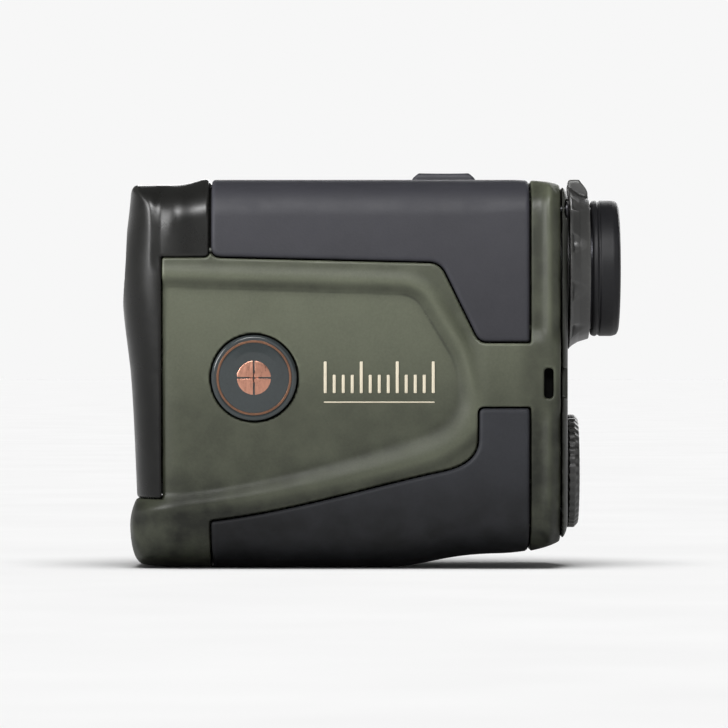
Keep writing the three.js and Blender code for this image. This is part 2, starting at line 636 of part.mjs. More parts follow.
const batteryTube = () => turned([
  [6, 0], [6, 9.1], [32.5, 9.1], [32.5, 11.1], [CASING_REAR, 11.1], [CASING_REAR, CAP_SPIGOT_HOLE],
  [33.5, CAP_SPIGOT_HOLE], [33.5, TUBE_BORE], [7.4, TUBE_BORE], [7.4, 0],
], BATTERY_Z, 24);
const frontContact = () => turned([[7.7, 0], [7.7, 4.5], [8.1, 4.5], [8.4, 1.5], [8.4, 0]], BATTERY_Z, 12);
const battery = () => turned([
  [CELL_SPAN[0], 0], [CELL_SPAN[0], 2.9], [9.6, 2.9], [9.6, 7.2], [10.1, CELL_RADIUS],
  [35.2, CELL_RADIUS], [CELL_SPAN[1], 7.3], [CELL_SPAN[1], 0],
], BATTERY_Z, 20);
const contactPlate = () => turned([
  [36, 0], [36, 4.2], [36.3, 6.8], [36.8, 6.8], [36.6, 0],
], BATTERY_Z, 14);

function contactSpring() {
  const turns = 2;
  const steps = 24;
  const path = new THREE.CatmullRomCurve3(Array.from({ length: steps + 1 }, (_, i) => {
    const share = i / steps;
    const angle = share * turns * 2 * Math.PI;
    const radius = 5.9 - 1.6 * share;
    return new THREE.Vector3(
      37.4 + 1.6 * share, radius * Math.cos(angle), BATTERY_Z + radius * Math.sin(angle));
  }));
  const wire = new THREE.Shape();
  wire.absarc(0, 0, 0.25, 0, 2 * Math.PI);
  const options = { extrudePath: path, steps, curveSegments: 2, bevelEnabled: false };
  return solid(new THREE.ExtrudeGeometry(wire, options));
}

const capSeal = () => sealRing(37.3, 9.25, 0.4, BATTERY_Z, 24);

function batteryCap() {
  const cap = turned([
    [39.6, 0], [39.6, 8.1], [34.4, 8.1], [34.4, 9.6], [36.6, 9.6], [36.6, 8.6], [38, 8.6],
    [38, 9.6], [38.8, 9.6], [38.8, 11.3], [40.4, 11.3], [41.1, 10.5], [41.1, 0],
  ], BATTERY_Z, 28);
  const coinSlot = block([40.4, 42], [-7.2, 7.2], [BATTERY_Z - 0.9, BATTERY_Z + 0.9]);
  return cut(cap, coinSlot);
}

// ---------------------------------------------------------------- electronics
const mainBoard = () => cut(
  block([-37.7, 31.2], [13.2, 14.4], [16, 64]),
  block([22, 32], [13, 15], [44, 65]),
);
const processor = () => block([-25, -15], [11.7, 12.9], [51, 61]);
const capacitor = () => rod([-23, -9], 4, [8.9, 43.5], 12);
const buttonBoard = () => block([-8, 21], [-6, 6], [69.9, 70.7]);
const tactSwitch = (x) => add(
  block([x - 3, x + 3], [-3, 3], [71, 71.9]),
  post([71.8, SWITCH_TOP], 1.5, [x, 0], 12),
);
const buttonFlex = () => alongX(points([
  [6.4, 70.1], [12.3, 70.1], [12.3, 61], [12.8, 61], [12.8, 70.6], [6.4, 70.6],
]), 4, 10);

// ---------------------------------------------------------------- assembly
const rangefinder = new THREE.Group();
function place(name, shape, material) {
  const mesh = new THREE.Mesh(geometryOf(shape), material);
  mesh.name = name;
  rangefinder.add(mesh);
}

place("casing_left", casing(-1), OLIVE);
place("casing_right", casing(1), OLIVE);
place("armour_top", armourTop(), RUBBER);
place("armour_bottom", armourBottom(), RUBBER);
place("front_bezel", frontBezel(), BLACK);
place("rear_plate", rearPlate(), BLACK);
SCREWS.forEach((where, i) => place(`rear_screw_${i + 1}`, rearScrew(where), BLACK_STEEL));
place("emblem_left", emblem(-1), EMBLEM);
place("emblem_right", emblem(1), EMBLEM);
place("range_button", rangeButton(), RUBBER);
place("mode_button", modeButton(), RUBBER);
place("chassis", chassis(), CASTING);

place("objective_cell", objectiveCell(), ANODISED);
place("objective_crown_lens", crownLens(), GLASS);
place("objective_flint_lens", flintLens(), GLASS);
place("objective_retaining_ring", objectiveRing(), ANODISED);
place("objective_seal", objectiveSeal(), SEAL);
place("receiver_cell", receiverCell(), ANODISED);
place("receiver_lens", receiverLens(), GLASS);
place("receiver_retaining_ring", receiverRing(), ANODISED);
place("laser_detector", detectorCan(), STEEL);
place("detector_board", detectorBoard(), BOARD);

place("prism_cage", prismCage(), CASTING);
place("entrance_prism", entrancePrism(), GLASS);
place("roof_prism", roofPrism(), GLASS);
place("display_module", displayModule(), GLASS);
place("field_stop", fieldStop(), ANODISED);
place("laser_diode", laserDiode(), BRASS);

place("eyepiece_barrel", eyepieceBarrel(), ANODISED);
place("ocular_cell", ocularCell(), BLACK);
place("field_lens", fieldLens(), GLASS);
place("eye_lens", eyeLens(), GLASS);
place("diopter_drive_pin", diopterPin(), STEEL);
place("diopter_ring", diopterRing(), BLACK);
place("eyecup_cam_sleeve", camSleeve(), ANODISED);
place("eyecup_core", eyecupCore(), ANODISED);
place("eyecup_pin", eyecupPin(), STEEL);
place("eyecup_rubber", eyecupRubber(), RUBBER);

place("main_board", mainBoard(), BOARD);
place("processor", processor(), CHIP);
place("storage_capacitor", capacitor(), CELL_WRAP);
place("button_board", buttonBoard(), BOARD);
place("range_switch", tactSwitch(RANGE_BUTTON_X), STEEL);
place("mode_switch", tactSwitch(MODE_BUTTON.x), STEEL);
place("button_flex", buttonFlex(), FLEX);

place("battery_tube", batteryTube(), BLACK);
place("battery", battery(), CELL_WRAP);
place("battery_contact_front", frontContact(), BRASS);
place("battery_contact_plate", contactPlate(), BRASS);
place("battery_spring", contactSpring(), STEEL);
place("battery_cap_seal", capSeal(), SEAL);
place("battery_cap", batteryCap(), BLACK);

export default rangefinder;
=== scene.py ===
"""The looks of a pocket laser rangefinder, built round its CAD frame. Lengths are in millimetres
until a mesh is made, and then in metres."""

import itertools
import json
import math

import bpy
import numpy as np
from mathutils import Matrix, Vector


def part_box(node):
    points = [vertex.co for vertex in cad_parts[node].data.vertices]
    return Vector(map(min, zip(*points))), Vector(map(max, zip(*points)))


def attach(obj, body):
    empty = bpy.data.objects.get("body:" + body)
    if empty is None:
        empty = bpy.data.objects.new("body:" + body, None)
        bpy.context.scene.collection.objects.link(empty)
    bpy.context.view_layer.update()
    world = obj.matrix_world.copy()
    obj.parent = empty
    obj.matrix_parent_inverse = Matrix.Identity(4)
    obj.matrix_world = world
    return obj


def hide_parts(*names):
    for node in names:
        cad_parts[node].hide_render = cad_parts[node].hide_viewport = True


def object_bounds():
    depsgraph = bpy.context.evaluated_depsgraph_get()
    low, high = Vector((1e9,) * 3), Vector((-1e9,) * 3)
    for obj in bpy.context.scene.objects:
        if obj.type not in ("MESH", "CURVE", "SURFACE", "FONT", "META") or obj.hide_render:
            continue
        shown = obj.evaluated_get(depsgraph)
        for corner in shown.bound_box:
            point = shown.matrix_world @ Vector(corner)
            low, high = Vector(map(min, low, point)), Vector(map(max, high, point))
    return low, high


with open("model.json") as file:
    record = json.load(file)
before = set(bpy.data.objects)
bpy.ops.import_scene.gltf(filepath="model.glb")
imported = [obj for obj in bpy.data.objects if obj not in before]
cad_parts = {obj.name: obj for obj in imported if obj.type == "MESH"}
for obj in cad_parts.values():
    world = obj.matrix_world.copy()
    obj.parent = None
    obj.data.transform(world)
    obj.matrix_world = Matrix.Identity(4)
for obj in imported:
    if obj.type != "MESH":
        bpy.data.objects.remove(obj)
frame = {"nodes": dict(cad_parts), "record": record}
CAD_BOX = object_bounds()
MM = 0.001
COARSE = 1.0
SLOT_OF = {part["node"]: part["material_slot"] for part in frame["record"]["subparts"]}


# ---- the frame's own measures, in mm
def span(node):
    """Lowest and highest corner of a CAD node, in mm."""
    low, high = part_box(node)
    return [value / MM for value in low], [value / MM for value in high]


def middle_z(node):
    low, high = span(node)
    return (low[2] + high[2]) / 2


FRONT = CAD_BOX[0][0] / MM - 0.05
HALF_WIDTH = span("armour_top")[1][1]
TOP = span("armour_top")[1][2]
BROW = 75.3
REAR = span("rear_plate")[1][0]
PLATE_FRONT = span("rear_plate")[0][0]
BEZEL_BACK = -41.0
COWL_BACK = span("front_bezel")[1][0]
COWL_FOOT = 61.0
SHELF_Z = span("front_bezel")[0][2]
ARMOUR_FRONT = span("armour_top")[0][0]
ARMOUR_REAR = span("armour_top")[1][0]
BELT_LOW = span("armour_bottom")[1][2]
BELT_HIGH = span("armour_top")[0][2]
SIGHT_Z = middle_z("objective_cell")
RECEIVER_Z = middle_z("receiver_lens")
BATTERY_Z = middle_z("battery_cap")
CASING_REAR = span("casing_left")[1][0]


# ---- fields: negative inside a solid
def soft_max(a, b, radius):
    """What two solids share, with the edge between them rounded."""
    outer = np.hypot(np.maximum(a + radius, 0), np.maximum(b + radius, 0))
    return np.minimum(np.maximum(a, b), -radius) + outer


def soft_min(a, b, radius):
    """Two solids joined, with a fillet in the corner between them."""
    return -soft_max(-a, -b, radius)


def slab(value, low, high):
    return np.maximum(low - value, value - high)


def brick(x, y, z, spans, radius):
    """A box with rounded edges."""
    across = soft_max(slab(x, *spans[0]), slab(z, *spans[2]), radius)
    return soft_max(across, slab(y, *spans[1]), radius)


def smooth_step(value, low, high):
    share = np.clip((value - low) / (high - low), 0, 1)
    return share * share * (3 - 2 * share)


def bezier(start, first, second, end, count=14):
    """Points along a cubic curve, without its start."""
    share = np.linspace(0, 1, count + 1)[1:, None]
    weights = [(1 - share) ** 3, 3 * share * (1 - share) ** 2, 3 * share**2 * (1 - share), share**3]
    return sum(w * np.array(p, float) for w, p in zip(weights, (start, first, second, end))).tolist()


def bend(start, control, end, count=10):
    """Points along a quadratic curve, without its start."""
    start, control, end = (np.array(p, float) for p in (start, control, end))
    first = start + (control - start) * 2 / 3
    second = end + (control - end) * 2 / 3
    return bezier(start, first, second, end, count)


def outline_distance(outline, u, v):
    """Signed distance from a closed outline, negative inside."""
    nearest = np.full(np.broadcast(u, v).shape, np.inf)
    inside = np.zeros(nearest.shape, bool)
    for (au, av), (bu, bv) in zip(outline, outline[1:] + outline[:1]):
        du, dv = bu - au, bv - av
        length = du * du + dv * dv
        if length < 1e-12:
            continue
        share = np.clip(((u - au) * du + (v - av) * dv) / length, 0, 1)
        nearest = np.minimum(nearest, (u - au - share * du) ** 2 + (v - av - share * dv) ** 2)
        if dv != 0:
            inside ^= ((av > v) != (bv > v)) & (u < au + (v - av) * du / dv)
    return np.where(inside, -1, 1) * np.sqrt(nearest)


class Outline:
    """The signed distance from an outline in (x, z), kept on a fine lattice for speed."""

    STEP = 0.2
    MARGIN = 8

    def __init__(self, outline, soften=0.0, mellow=0.0):
        self.low = np.array([FRONT, 0.0]) - self.MARGIN
        count = (np.array([REAR, TOP]) + self.MARGIN - self.low) / self.STEP
        u = self.low[0] + np.arange(int(count[0]) + 2)[:, None] * self.STEP
        v = self.low[1] + np.arange(int(count[1]) + 2)[None, :] * self.STEP
        self.values = outline_distance(outline, u, v)
        self.values = self.blurred(self.values, soften)
        if mellow:
            deep = smooth_step(-self.values, 0.4, 2 * mellow)
            self.values += deep * (self.blurred(self.values, mellow) - self.values)

    def blurred(self, values, width):
        for _ in range(int(round((width / self.STEP) ** 2))):
            for axis in (0, 1):
                before = np.roll(values, 1, axis)
                after = np.roll(values, -1, axis)
                values = (before + 2 * values + after) / 4
        return values

    def __call__(self, x, z):
        u, v = np.broadcast_arrays((x - self.low[0]) / self.STEP, (z - self.low[1]) / self.STEP)
        i = np.clip(u.astype(int), 0, self.values.shape[0] - 2)
        j = np.clip(v.astype(int), 0, self.values.shape[1] - 2)
        s, t = u - i, v - j
        low = self.values[i, j] * (1 - s) + self.values[i + 1, j] * s
        high = self.values[i, j + 1] * (1 - s) + self.values[i + 1, j + 1] * s
        return low * (1 - t) + high * t


# ---- from fields to meshes
def net(field, low, high, step):
    """Quads over the surface where the field is zero: one point in each lattice cell it crosses."""
    low = np.array(low, float) - 2 * step
    counts = [int((top - bottom) / step) + 4 for bottom, top in zip(low, high)]
    axes = [low[k] + step * np.arange(counts[k]) for k in range(3)]
    values = field(axes[0][:, None, None], axes[1][None, :, None], axes[2][None, None, :])
    values = np.ascontiguousarray(np.broadcast_to(values, counts))
    inside = values < 0
    corners = list(itertools.product((0, 1), repeat=3))
    cells = [count - 1 for count in counts]
    held = np.zeros(cells, np.int8)
    for i, j, k in corners:
        held += inside[i : i + cells[0], j : j + cells[1], k : k + cells[2]]
    place = np.argwhere((held > 0) & (held < 8))
    total = np.zeros((len(place), 3))
    hits = np.zeros(len(place))
    for corner in corners:
        for axis in range(3):
            if corner[axis]:
                continue
            start = place + corner
            end = start + np.eye(3, dtype=int)[axis]
            a, b = values[tuple(start.T)], values[tuple(end.T)]
            crossed = (a < 0) != (b < 0)
            share = np.where(crossed, a / np.where(crossed, a - b, 1), 0)
            point = start.astype(float)
            point[:, axis] += share
            total += point * crossed[:, None]
            hits += crossed
    points = low + step * total / hits[:, None]
    number = np.full(cells, -1)
    number[tuple(place.T)] = np.arange(len(place))
    quads = [quads_across(inside, number, axis) for axis in range(3)]
    return points, np.concatenate(quads)


def quads_across(inside, number, axis):
    """One quad round each lattice edge along an axis that leaves or enters the solid."""
    before = [slice(None)] * 3
    after = [slice(None)] * 3
    before[axis] = slice(None, -1)
    after[axis] = slice(1, None)
    crossing = np.argwhere(inside[tuple(before)] != inside[tuple(after)])
    unit = np.eye(3, dtype=int)
    b, c = unit[(axis + 1) % 3], unit[(axis + 2) % 3]
    ring = [crossing - b - c, crossing - c, crossing, crossing - b]
    quads = np.stack([number[tuple(cell.T)] for cell in ring], axis=1)
    leaving = inside[tuple(crossing.T)]
    quads[~leaving] = quads[~leaving][:, ::-1]
    return quads


def slope(field, points, reach):
    """The field and its gradient at some points."""
    x, y, z = points.T
    here = field(x, y, z)
    rise = [
        field(x + reach, y, z) - field(x - reach, y, z),
        field(x, y + reach, z) - field(x, y - reach, z),
        field(x, y, z + reach) - field(x, y, z - reach),
    ]
    return here, np.stack(rise, axis=1) / (2 * reach)


def settle(field, points, step):
    """Moves points onto the surface."""
    for _ in range(2):
        here, rise = slope(field, points, 0.3 * step)
        size = np.maximum((rise**2).sum(axis=1), 0.05)
        shift = np.clip(here / size, -step, step)[:, None] * rise
        points = points - shift
    return points


def relax(points, quads):
    """Evens out the spacing of a net's points."""
    start = quads.ravel()
    end = np.roll(quads, -1, axis=1).ravel()
    ends = np.concatenate([end, start])
    starts = np.concatenate([start, end])
    count = np.bincount(starts, minlength=len(points))[:, None]
    mean = [np.bincount(starts, points[ends, k], len(points)) for k in range(3)]
    return points + 0.5 * (np.stack(mean, axis=1) / count - points)


def new_object(name, mesh):
    piece = bpy.data.objects.new(name, mesh)
    bpy.context.scene.collection.objects.link(piece)
    return piece


def mesh_of(name, points, faces):
    mesh = bpy.data.meshes.new(name)
    mesh.from_pydata((np.asarray(points) * MM).tolist(), [], [list(face) for face in faces])
    mesh.polygons.foreach_set("use_smooth", [True] * len(mesh.polygons))
    mesh.update()
    return mesh


def thinned(piece, share):
    """Replaces a piece's mesh by one with fewer faces where it is flat."""
    modifier = piece.modifiers.new("thin", "DECIMATE")
    modifier.ratio = share
    shown = piece.evaluated_get(bpy.context.evaluated_depsgraph_get())
    mesh = bpy.data.meshes.new_from_object(shown)
    piece.modifiers.clear()
    piece.data = mesh


def bending(field, points, reach):
    """How sharply the surface bends: positive on outer edges, negative in corners, per mm."""
    x, y, z = points.T
    total = field(x + reach, y, z) + field(x - reach, y, z)
    total = total + field(x, y + reach, z) + field(x, y - reach, z)
    total = total + field(x, y, z + reach) + field(x, y, z - reach)
    return (total - 6 * field(x, y, z)) / reach**2


def keep_values(mesh, name, values):
    layer = mesh.attributes.new(name, "FLOAT", "POINT")
    layer.data.foreach_set("value", np.ascontiguousarray(values, np.float32))


def carve(name, field, low, high, step=0.4, share=0.35, shade=None):
    """A piece from a field, with its shading taken from the field's own slope. It keeps how rubbed each
    point is, which also paints a highlight on crests, and the painted shade in its corners, to which shade
    adds."""
    step *= COARSE
    points, quads = net(field, low, high, step)
    points = settle(field, points, step)
    for _ in range(2):
        points = settle(field, relax(points, quads), step)
    piece = new_object(name, mesh_of(name, points, quads))
    bpy.context.view_layer.update()
    thinned(piece, share)
    mesh = piece.data
    flat = np.zeros(len(mesh.vertices) * 3)
    mesh.vertices.foreach_get("co", flat)
    places = flat.reshape(-1, 3) / MM
    _, rise = slope(field, places, 0.5 * step)
    rise /= np.maximum(np.linalg.norm(rise, axis=1), 1e-9)[:, None]
    bends = bending(field, places, 0.45)
    # Outer edges and crests: rubbed pale, which also paints a highlight on them.
    keep_values(mesh, "wear_and_highlight", smooth_step(bends, 0.25, 1.7))
    # Inner corners and creases: painted shade.
    shade_amount = smooth_step(-bends, 0.12, 1.2)
    if shade:
        shade_amount = np.maximum(shade_amount, shade(*places.T))
    keep_values(mesh, "painted_shade", shade_amount)
    mesh.polygons.foreach_set("use_smooth", [True] * len(mesh.polygons))
    mesh.normals_split_custom_set_from_vertices(rise.tolist())
    return piece


BODY_OF = {name: body for body, names in frame["record"]["behaviour"]["bodies"].items() for name in names}


def finished(piece, material, node, stands_in=True):
    """Gives a piece its material and ties it to the CAD node it stands for, or sits on."""
    piece.data.materials.clear()
    piece.data.materials.append(material)
    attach(piece, BODY_OF[node])
    if stands_in:
        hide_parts(node)
    return piece


# ---- turned pieces
def filleted(profile, radius, closed):
    """A profile of (x, r) points with its corners rounded."""
    points = [np.array(point[:2], float) for point in profile]
    count = len(points)
    rounded = []
    for i, (here, given) in enumerate(zip(points, profile)):
        if not closed and i in (0, count - 1):
            rounded.append(here)
            continue
        before, after = points[i - 1], points[(i + 1) % count]
        want = given[2] if len(given) > 2 else radius
        room = 0.45 * min(np.linalg.norm(before - here), np.linalg.norm(after - here))
        reach = min(want, room)
        into = here + (before - here) / np.linalg.norm(before - here) * reach
        out = here + (after - here) / np.linalg.norm(after - here) * reach
        rounded.append(into)
        rounded.extend(np.array(p) for p in bend(into, here, out, 4))
    return rounded


def turn(name, profile, centre, radius=0.15, segments=96, axis="X"):
    """A lathe piece about an axis along X through (y, z), or along Y through (x, z). The profile,
    of places along the axis and radii, starts and ends on the axis, or closes."""

    def at(along, u, v):
        if axis == "X":
            return (along, centre[0] + u, centre[1] + v)
        return (centre[0] + u, along, centre[1] + v)

    closed = profile[0][1] > 0
    outline = filleted(profile, radius, closed)
    points, rings = [], []
    for x, r in outline:
        if r < 1e-6:
            rings.append([len(points)])
            points.append(at(x, 0, 0))
            continue
        rings.append(list(range(len(points), len(points) + segments)))
        for i in range(segments):
            angle = 2 * math.pi * i / segments
            points.append(at(x, r * math.cos(angle), r * math.sin(angle)))
    faces = []
    pairs = list(zip(rings, rings[1:]))
    if closed:
        pairs.append((rings[-1], rings[0]))
    for first, second in pairs:
        for i in range(segments):
            j = (i + 1) % segments
            if len(first) == 1:
                faces.append((first[0], second[i], second[j]))
            elif len(second) == 1:
                faces.append((first[i], second[0], first[j]))
            else:
                faces.append((first[i], second[i], second[j], first[j]))
    faces = outward(points, faces)
    mesh = mesh_of(name, points, faces)
    shade_by_area(mesh, points, faces)
    return new_object(name, mesh)


def outward(points, faces):
    """Turns the faces round if they enclose a negative volume."""
    corners = np.array([[points[face[0]], points[face[1]], points[face[2]]] for face in faces])
    quads = [face for face in faces if len(face) == 4]
    rest = np.array([[points[face[0]], points[face[2]], points[face[3]]] for face in quads])
    both = np.concatenate([corners, rest]) if quads else corners
    volume = np.einsum("ij,ij->i", both[:, 0], np.cross(both[:, 1], both[:, 2])).sum()
    return faces if volume > 0 else [tuple(reversed(face)) for face in faces]


def shade_by_area(mesh, points, faces):
    """Shading normals in which wide faces outweigh the small faces of a fillet."""
    points = np.asarray(points, float)
    normals = np.zeros_like(points)
    for face in faces:
        a, b, c = points[face[0]], points[face[1]], points[face[2]]
        d = points[face[-1]]
        normal = np.cross(c - a, d - b) if len(face) == 4 else np.cross(b - a, c - a)
        for corner in face:
            normals[corner] += normal
    normals /= np.maximum(np.linalg.norm(normals, axis=1), 1e-12)[:, None]
    mesh.normals_split_custom_set_from_vertices(normals.tolist())


# ---- materials
def linear(red, green, blue):
    """A colour as a person picks it, 0 to 255, in the renderer's linear light."""
    values = [channel / 255 for channel in (red, green, blue)]
    return [v / 12.92 if v <= 0.04045 else ((v + 0.055) / 1.055) ** 2.4 for v in values] + [1.0]


class Graph:
    """A material's nodes, with short calls for the ones that are used here."""

    def __init__(self, name):
        self.material = bpy.data.materials.new(name)
        self.material.use_nodes = True
        self.tree = self.material.node_tree
        self.shader = self.tree.nodes["Principled BSDF"]
        self.place = self.tree.nodes.new("ShaderNodeTexCoord").outputs["Object"]

    def link(self, source, target):
        self.tree.links.new(source, target)

    def drive(self, socket, source):
        self.link(source, self.shader.inputs[socket])

    def noise(self, size_mm, detail=4.0, roughness=0.55, stretch=None):
        node = self.tree.nodes.new("ShaderNodeTexNoise")
        node.inputs["Scale"].default_value = 1 / (size_mm * MM)
        node.inputs["Detail"].default_value = detail
        node.inputs["Roughness"].default_value = roughness
        source = self.place
        if stretch:
            mapping = self.tree.nodes.new("ShaderNodeMapping")
            mapping.inputs["Scale"].default_value = stretch
            self.link(source, mapping.inputs["Vector"])
            source = mapping.outputs["Vector"]
        self.link(source, node.inputs["Vector"])
        return node.outputs["Fac"]

    def cells(self, size_mm):
        node = self.tree.nodes.new("ShaderNodeTexVoronoi")
        node.feature = "SMOOTH_F1"
        node.inputs["Scale"].default_value = 1 / (size_mm * MM)
        self.link(self.place, node.inputs["Vector"])
        return node.outputs["Distance"]

    def spread(self, value, low, high, out_low, out_high):
        node = self.tree.nodes.new("ShaderNodeMapRange")
        sockets = ("From Min", "From Max", "To Min", "To Max")
        for socket, number in zip(sockets, (low, high, out_low, out_high)):
            node.inputs[socket].default_value = number
        self.link(value, node.inputs["Value"])
        return node.outputs["Result"]

    def blend(self, share, first, second):
        node = self.tree.nodes.new("ShaderNodeMix")
        node.data_type = "RGBA"
        self.link(share, node.inputs["Factor"])
        for value, socket in ((first, node.inputs[6]), (second, node.inputs[7])):
            if isinstance(value, list):
                socket.default_value = value
            else:
                self.link(value, socket)
        return node.outputs[2]

    def kept(self, name):
        """A value that carve() kept on the mesh: 0 where a mesh has none."""
        node = self.tree.nodes.new("ShaderNodeAttribute")
        node.attribute_name = name
        return node.outputs["Fac"]

    def patchy(self, name, size_mm, least):
        """A kept value, broken up by noise."""
        node = self.tree.nodes.new("ShaderNodeMath")
        node.operation = "MULTIPLY"
        self.link(self.kept(name), node.inputs[0])
        self.link(self.spread(self.noise(size_mm, 5), 0.35, 0.6, least, 1), node.inputs[1])
        return node.outputs[0]

    def bump(self, height, strength, distance_mm, under=None):
        node = self.tree.nodes.new("ShaderNodeBump")
        node.inputs["Strength"].default_value = strength
        node.inputs["Distance"].default_value = distance_mm * MM
        self.link(height, node.inputs["Height"])
        if under:
            self.link(under, node.inputs["Normal"])
        return node.outputs["Normal"]

    def set(self, **values):
        for name, value in values.items():
            self.shader.inputs[name.replace("_", " ")].default_value = value


def scaled(colour, share):
    return [min(1.0, channel * share) for channel in colour[:3]] + [1.0]


def moulded(name, colour, rough, grain_mm=0.35, grain=0.25, wear_and_highlight=1.5, painted_dark=0.5, level=0.5, sheen=0.0):
    """Moulded polymer or rubber: mottled colour, pebbled grain, edges rubbed pale with a painted
    highlight, corners in painted shade.
    """
    graph = Graph(name)
    shade = graph.spread(graph.noise(9, 5), 0.35, 0.65, 0, 1)
    ground = graph.blend(shade, scaled(colour, 0.86), colour)
    fleck = graph.spread(graph.noise(0.5, 3), 0.3, 0.75, 0, 0.4)
    ground = graph.blend(fleck, ground, scaled(colour, 1.3))
    # Edges rubbed pale, which also paints a highlight on them.
    ground = graph.blend(graph.patchy("wear_and_highlight", 3, 0.25), ground, scaled(colour, wear_and_highlight))
    # Painted shade in corners and wherever carve() was given more shade.
    ground = graph.blend(graph.patchy("painted_shade", 6, 0.6), ground, scaled(colour, painted_dark))
    graph.drive("Base Color", ground)
    gloss = graph.spread(graph.noise(4, 6), 0.3, 0.7, rough - 0.05, rough + 0.06)
    graph.drive("Roughness", gloss)
    fine = graph.bump(graph.noise(grain_mm / 2.2, 3, 0.6), grain * 0.6, 0.04)
    graph.drive("Normal", graph.bump(graph.cells(grain_mm), grain, 0.05, fine))
    graph.set(Specular_IOR_Level=level, Sheen_Weight=sheen)
    return graph.material


def metal(name, colour, rough, streak=None, grain=0.08):
    """Machined or cast metal, with fine marks along the streak direction."""
    graph = Graph(name)
    marks = graph.noise(0.6, 6, 0.7, streak or (1, 1, 1))
    shade = graph.spread(marks, 0.3, 0.7, 0, 1)
    graph.drive("Base Color", graph.blend(shade, scaled(colour, 0.7), colour))
    gloss = graph.spread(marks, 0.3, 0.7, rough - 0.08, rough + 0.1)
    graph.drive("Roughness", gloss)
    graph.drive("Normal", graph.bump(marks, grain, 0.03))
    graph.set(Metallic=1.0)
    return graph.material


def coated_glass(name, tint, film_nm):
    """A coated lens: clear, with a coloured reflection from the coating and a little dust haze."""
    graph = Graph(name)
    drift = graph.spread(graph.noise(14, 2), 0.35, 0.65, 0, 1)
    graph.drive("Base Color", graph.blend(drift, scaled(tint, 0.92), tint))
    haze = graph.spread(graph.noise(2.5, 5), 0.4, 0.7, 0.0, 0.04)
    graph.drive("Roughness", haze)
    graph.set(IOR=1.55, Transmission_Weight=1.0, Thin_Film_Thickness=film_nm, Thin_Film_IOR=1.38)
    return graph.material


def board(name, mask, copper):
    """A circuit board: tracks under solder mask."""
    graph = Graph(name)
    tracks = graph.spread(graph.noise(2.2, 1, 0.3, (1, 1, 3)), 0.5, 0.53, 0, 1)
    graph.drive("Base Color", graph.blend(tracks, mask, copper))
    graph.drive("Roughness", graph.spread(graph.noise(3, 3), 0.3, 0.7, 0.3, 0.45))
    graph.drive("Normal", graph.bump(tracks, 0.3, 0.04))
    return graph.material


OLIVE = moulded("olive polymer", linear(75, 78, 65), 0.42, 0.3, 0.16, 1.45, 0.05, 0.26)
RUBBER = moulded("armour rubber", linear(35, 35, 40), 0.6, 0.42, 0.32, 1.4, 0.5, 0.32, 0.01)
# The keel's copy of the armour rubber, set for how the light falls low on the body: a touch lighter, with
# its painted shade going much darker.
LOW_RUBBER = moulded("lower rubber", linear(38, 39, 43), 0.6, 0.42, 0.32, 1.4, 0.12, 0.25, 0.01)
BLACK = moulded("black polymer", linear(20, 20, 19), 0.3, 0.25, 0.08, 1.8, 0.25, 0.24)
# A near-black, almost unreflecting material: a painted shadow for casing faces deep in painted shade.
UNLIT = moulded("painted shadow inside the casing", linear(14, 14, 13), 0.8, 0.3, 0.2, 1.2, 0.5, 0.05)
PLATE = moulded("rear plate polymer", linear(30, 31, 27), 0.45, 0.25, 0.12, 1.5, 0.6, 0.28)
RING = moulded("ring polymer", linear(44, 44, 43), 0.42, 0.25, 0.12, 2.0, 0.5, 0.45)
EYE_RUBBER = moulded("eyecup rubber", linear(19, 19, 21), 0.5, 0.3, 0.18, 1.5, 0.6, 0.2)
SEAL = moulded("seal rubber", linear(22, 22, 22), 0.35, 0.2, 0.1)
CHIP = moulded("chip epoxy", linear(26, 27, 29), 0.45, 0.2, 0.15)
WRAP = moulded("cell wrap", linear(48, 84, 148), 0.3, 0.8, 0.04)
FLEX = moulded("flexible film", linear(176, 120, 44), 0.35, 0.6, 0.05)
PRINT = moulded("printed scale", linear(186, 178, 158), 0.5, 0.2, 0.08, 1.1, 0.8)
DISC = moulded("emblem lacquer", linear(44, 49, 50), 0.16, 0.8, 0.02, 1.2, 0.8)
ANODISED = metal("anodised aluminium", linear(44, 44, 47), 0.36, (0.15, 1, 1))
STEEL = metal("bright steel", linear(190, 192, 196), 0.26, (0.2, 1, 1))
BLACK_STEEL = metal("black oxide steel", linear(58, 58, 60), 0.34)
BRASS = metal("gilt brass", linear(206, 170, 96), 0.28)
CASTING = metal("cast chassis", linear(150, 152, 156), 0.5, None, 0.25)
BRONZE = metal("bronze line", linear(140, 104, 84), 0.36, (1, 1, 0.3), 0.12)
COPPER = metal("copper foil", linear(206, 150, 128), 0.3, (1, 1, 0.3), 0.12)
LENS = coated_glass("coated lens", linear(236, 248, 240), 460.0)
BOARD = board("circuit board", linear(24, 82, 48), linear(60, 120, 70))

FINISHES = {
    "olive_casing": OLIVE,
    "rubber_armour": RUBBER,
    "black_plastic": BLACK,
    "anodised_metal": ANODISED,
    "lens_glass": LENS,
    "steel": STEEL,
    "black_steel": BLACK_STEEL,
    "brass": BRASS,
    "seal_rubber": SEAL,
    "circuit_board": BOARD,
    "chip": CHIP,
    "flex_film": FLEX,
    "cell_wrap": WRAP,
    "casting": CASTING,
    "emblem": DISC,
}
for node_name, node_object in frame["nodes"].items():
    node_object.data.materials.clear()
    node_object.data.materials.append(FINISHES[SLOT_OF[node_name]])


# ---- the body's form
def path(start, *steps):
    """Points through steps that each hold one point (a line), two (a quadratic) or three (a cubic)."""
    outline = [start]
    for step in steps:
        if len(step) == 1:
            outline += step
        elif len(step) == 2:
            outline += bend(outline[-1], *step)
        else:
            outline += bezier(outline[-1], *step)
    return outline


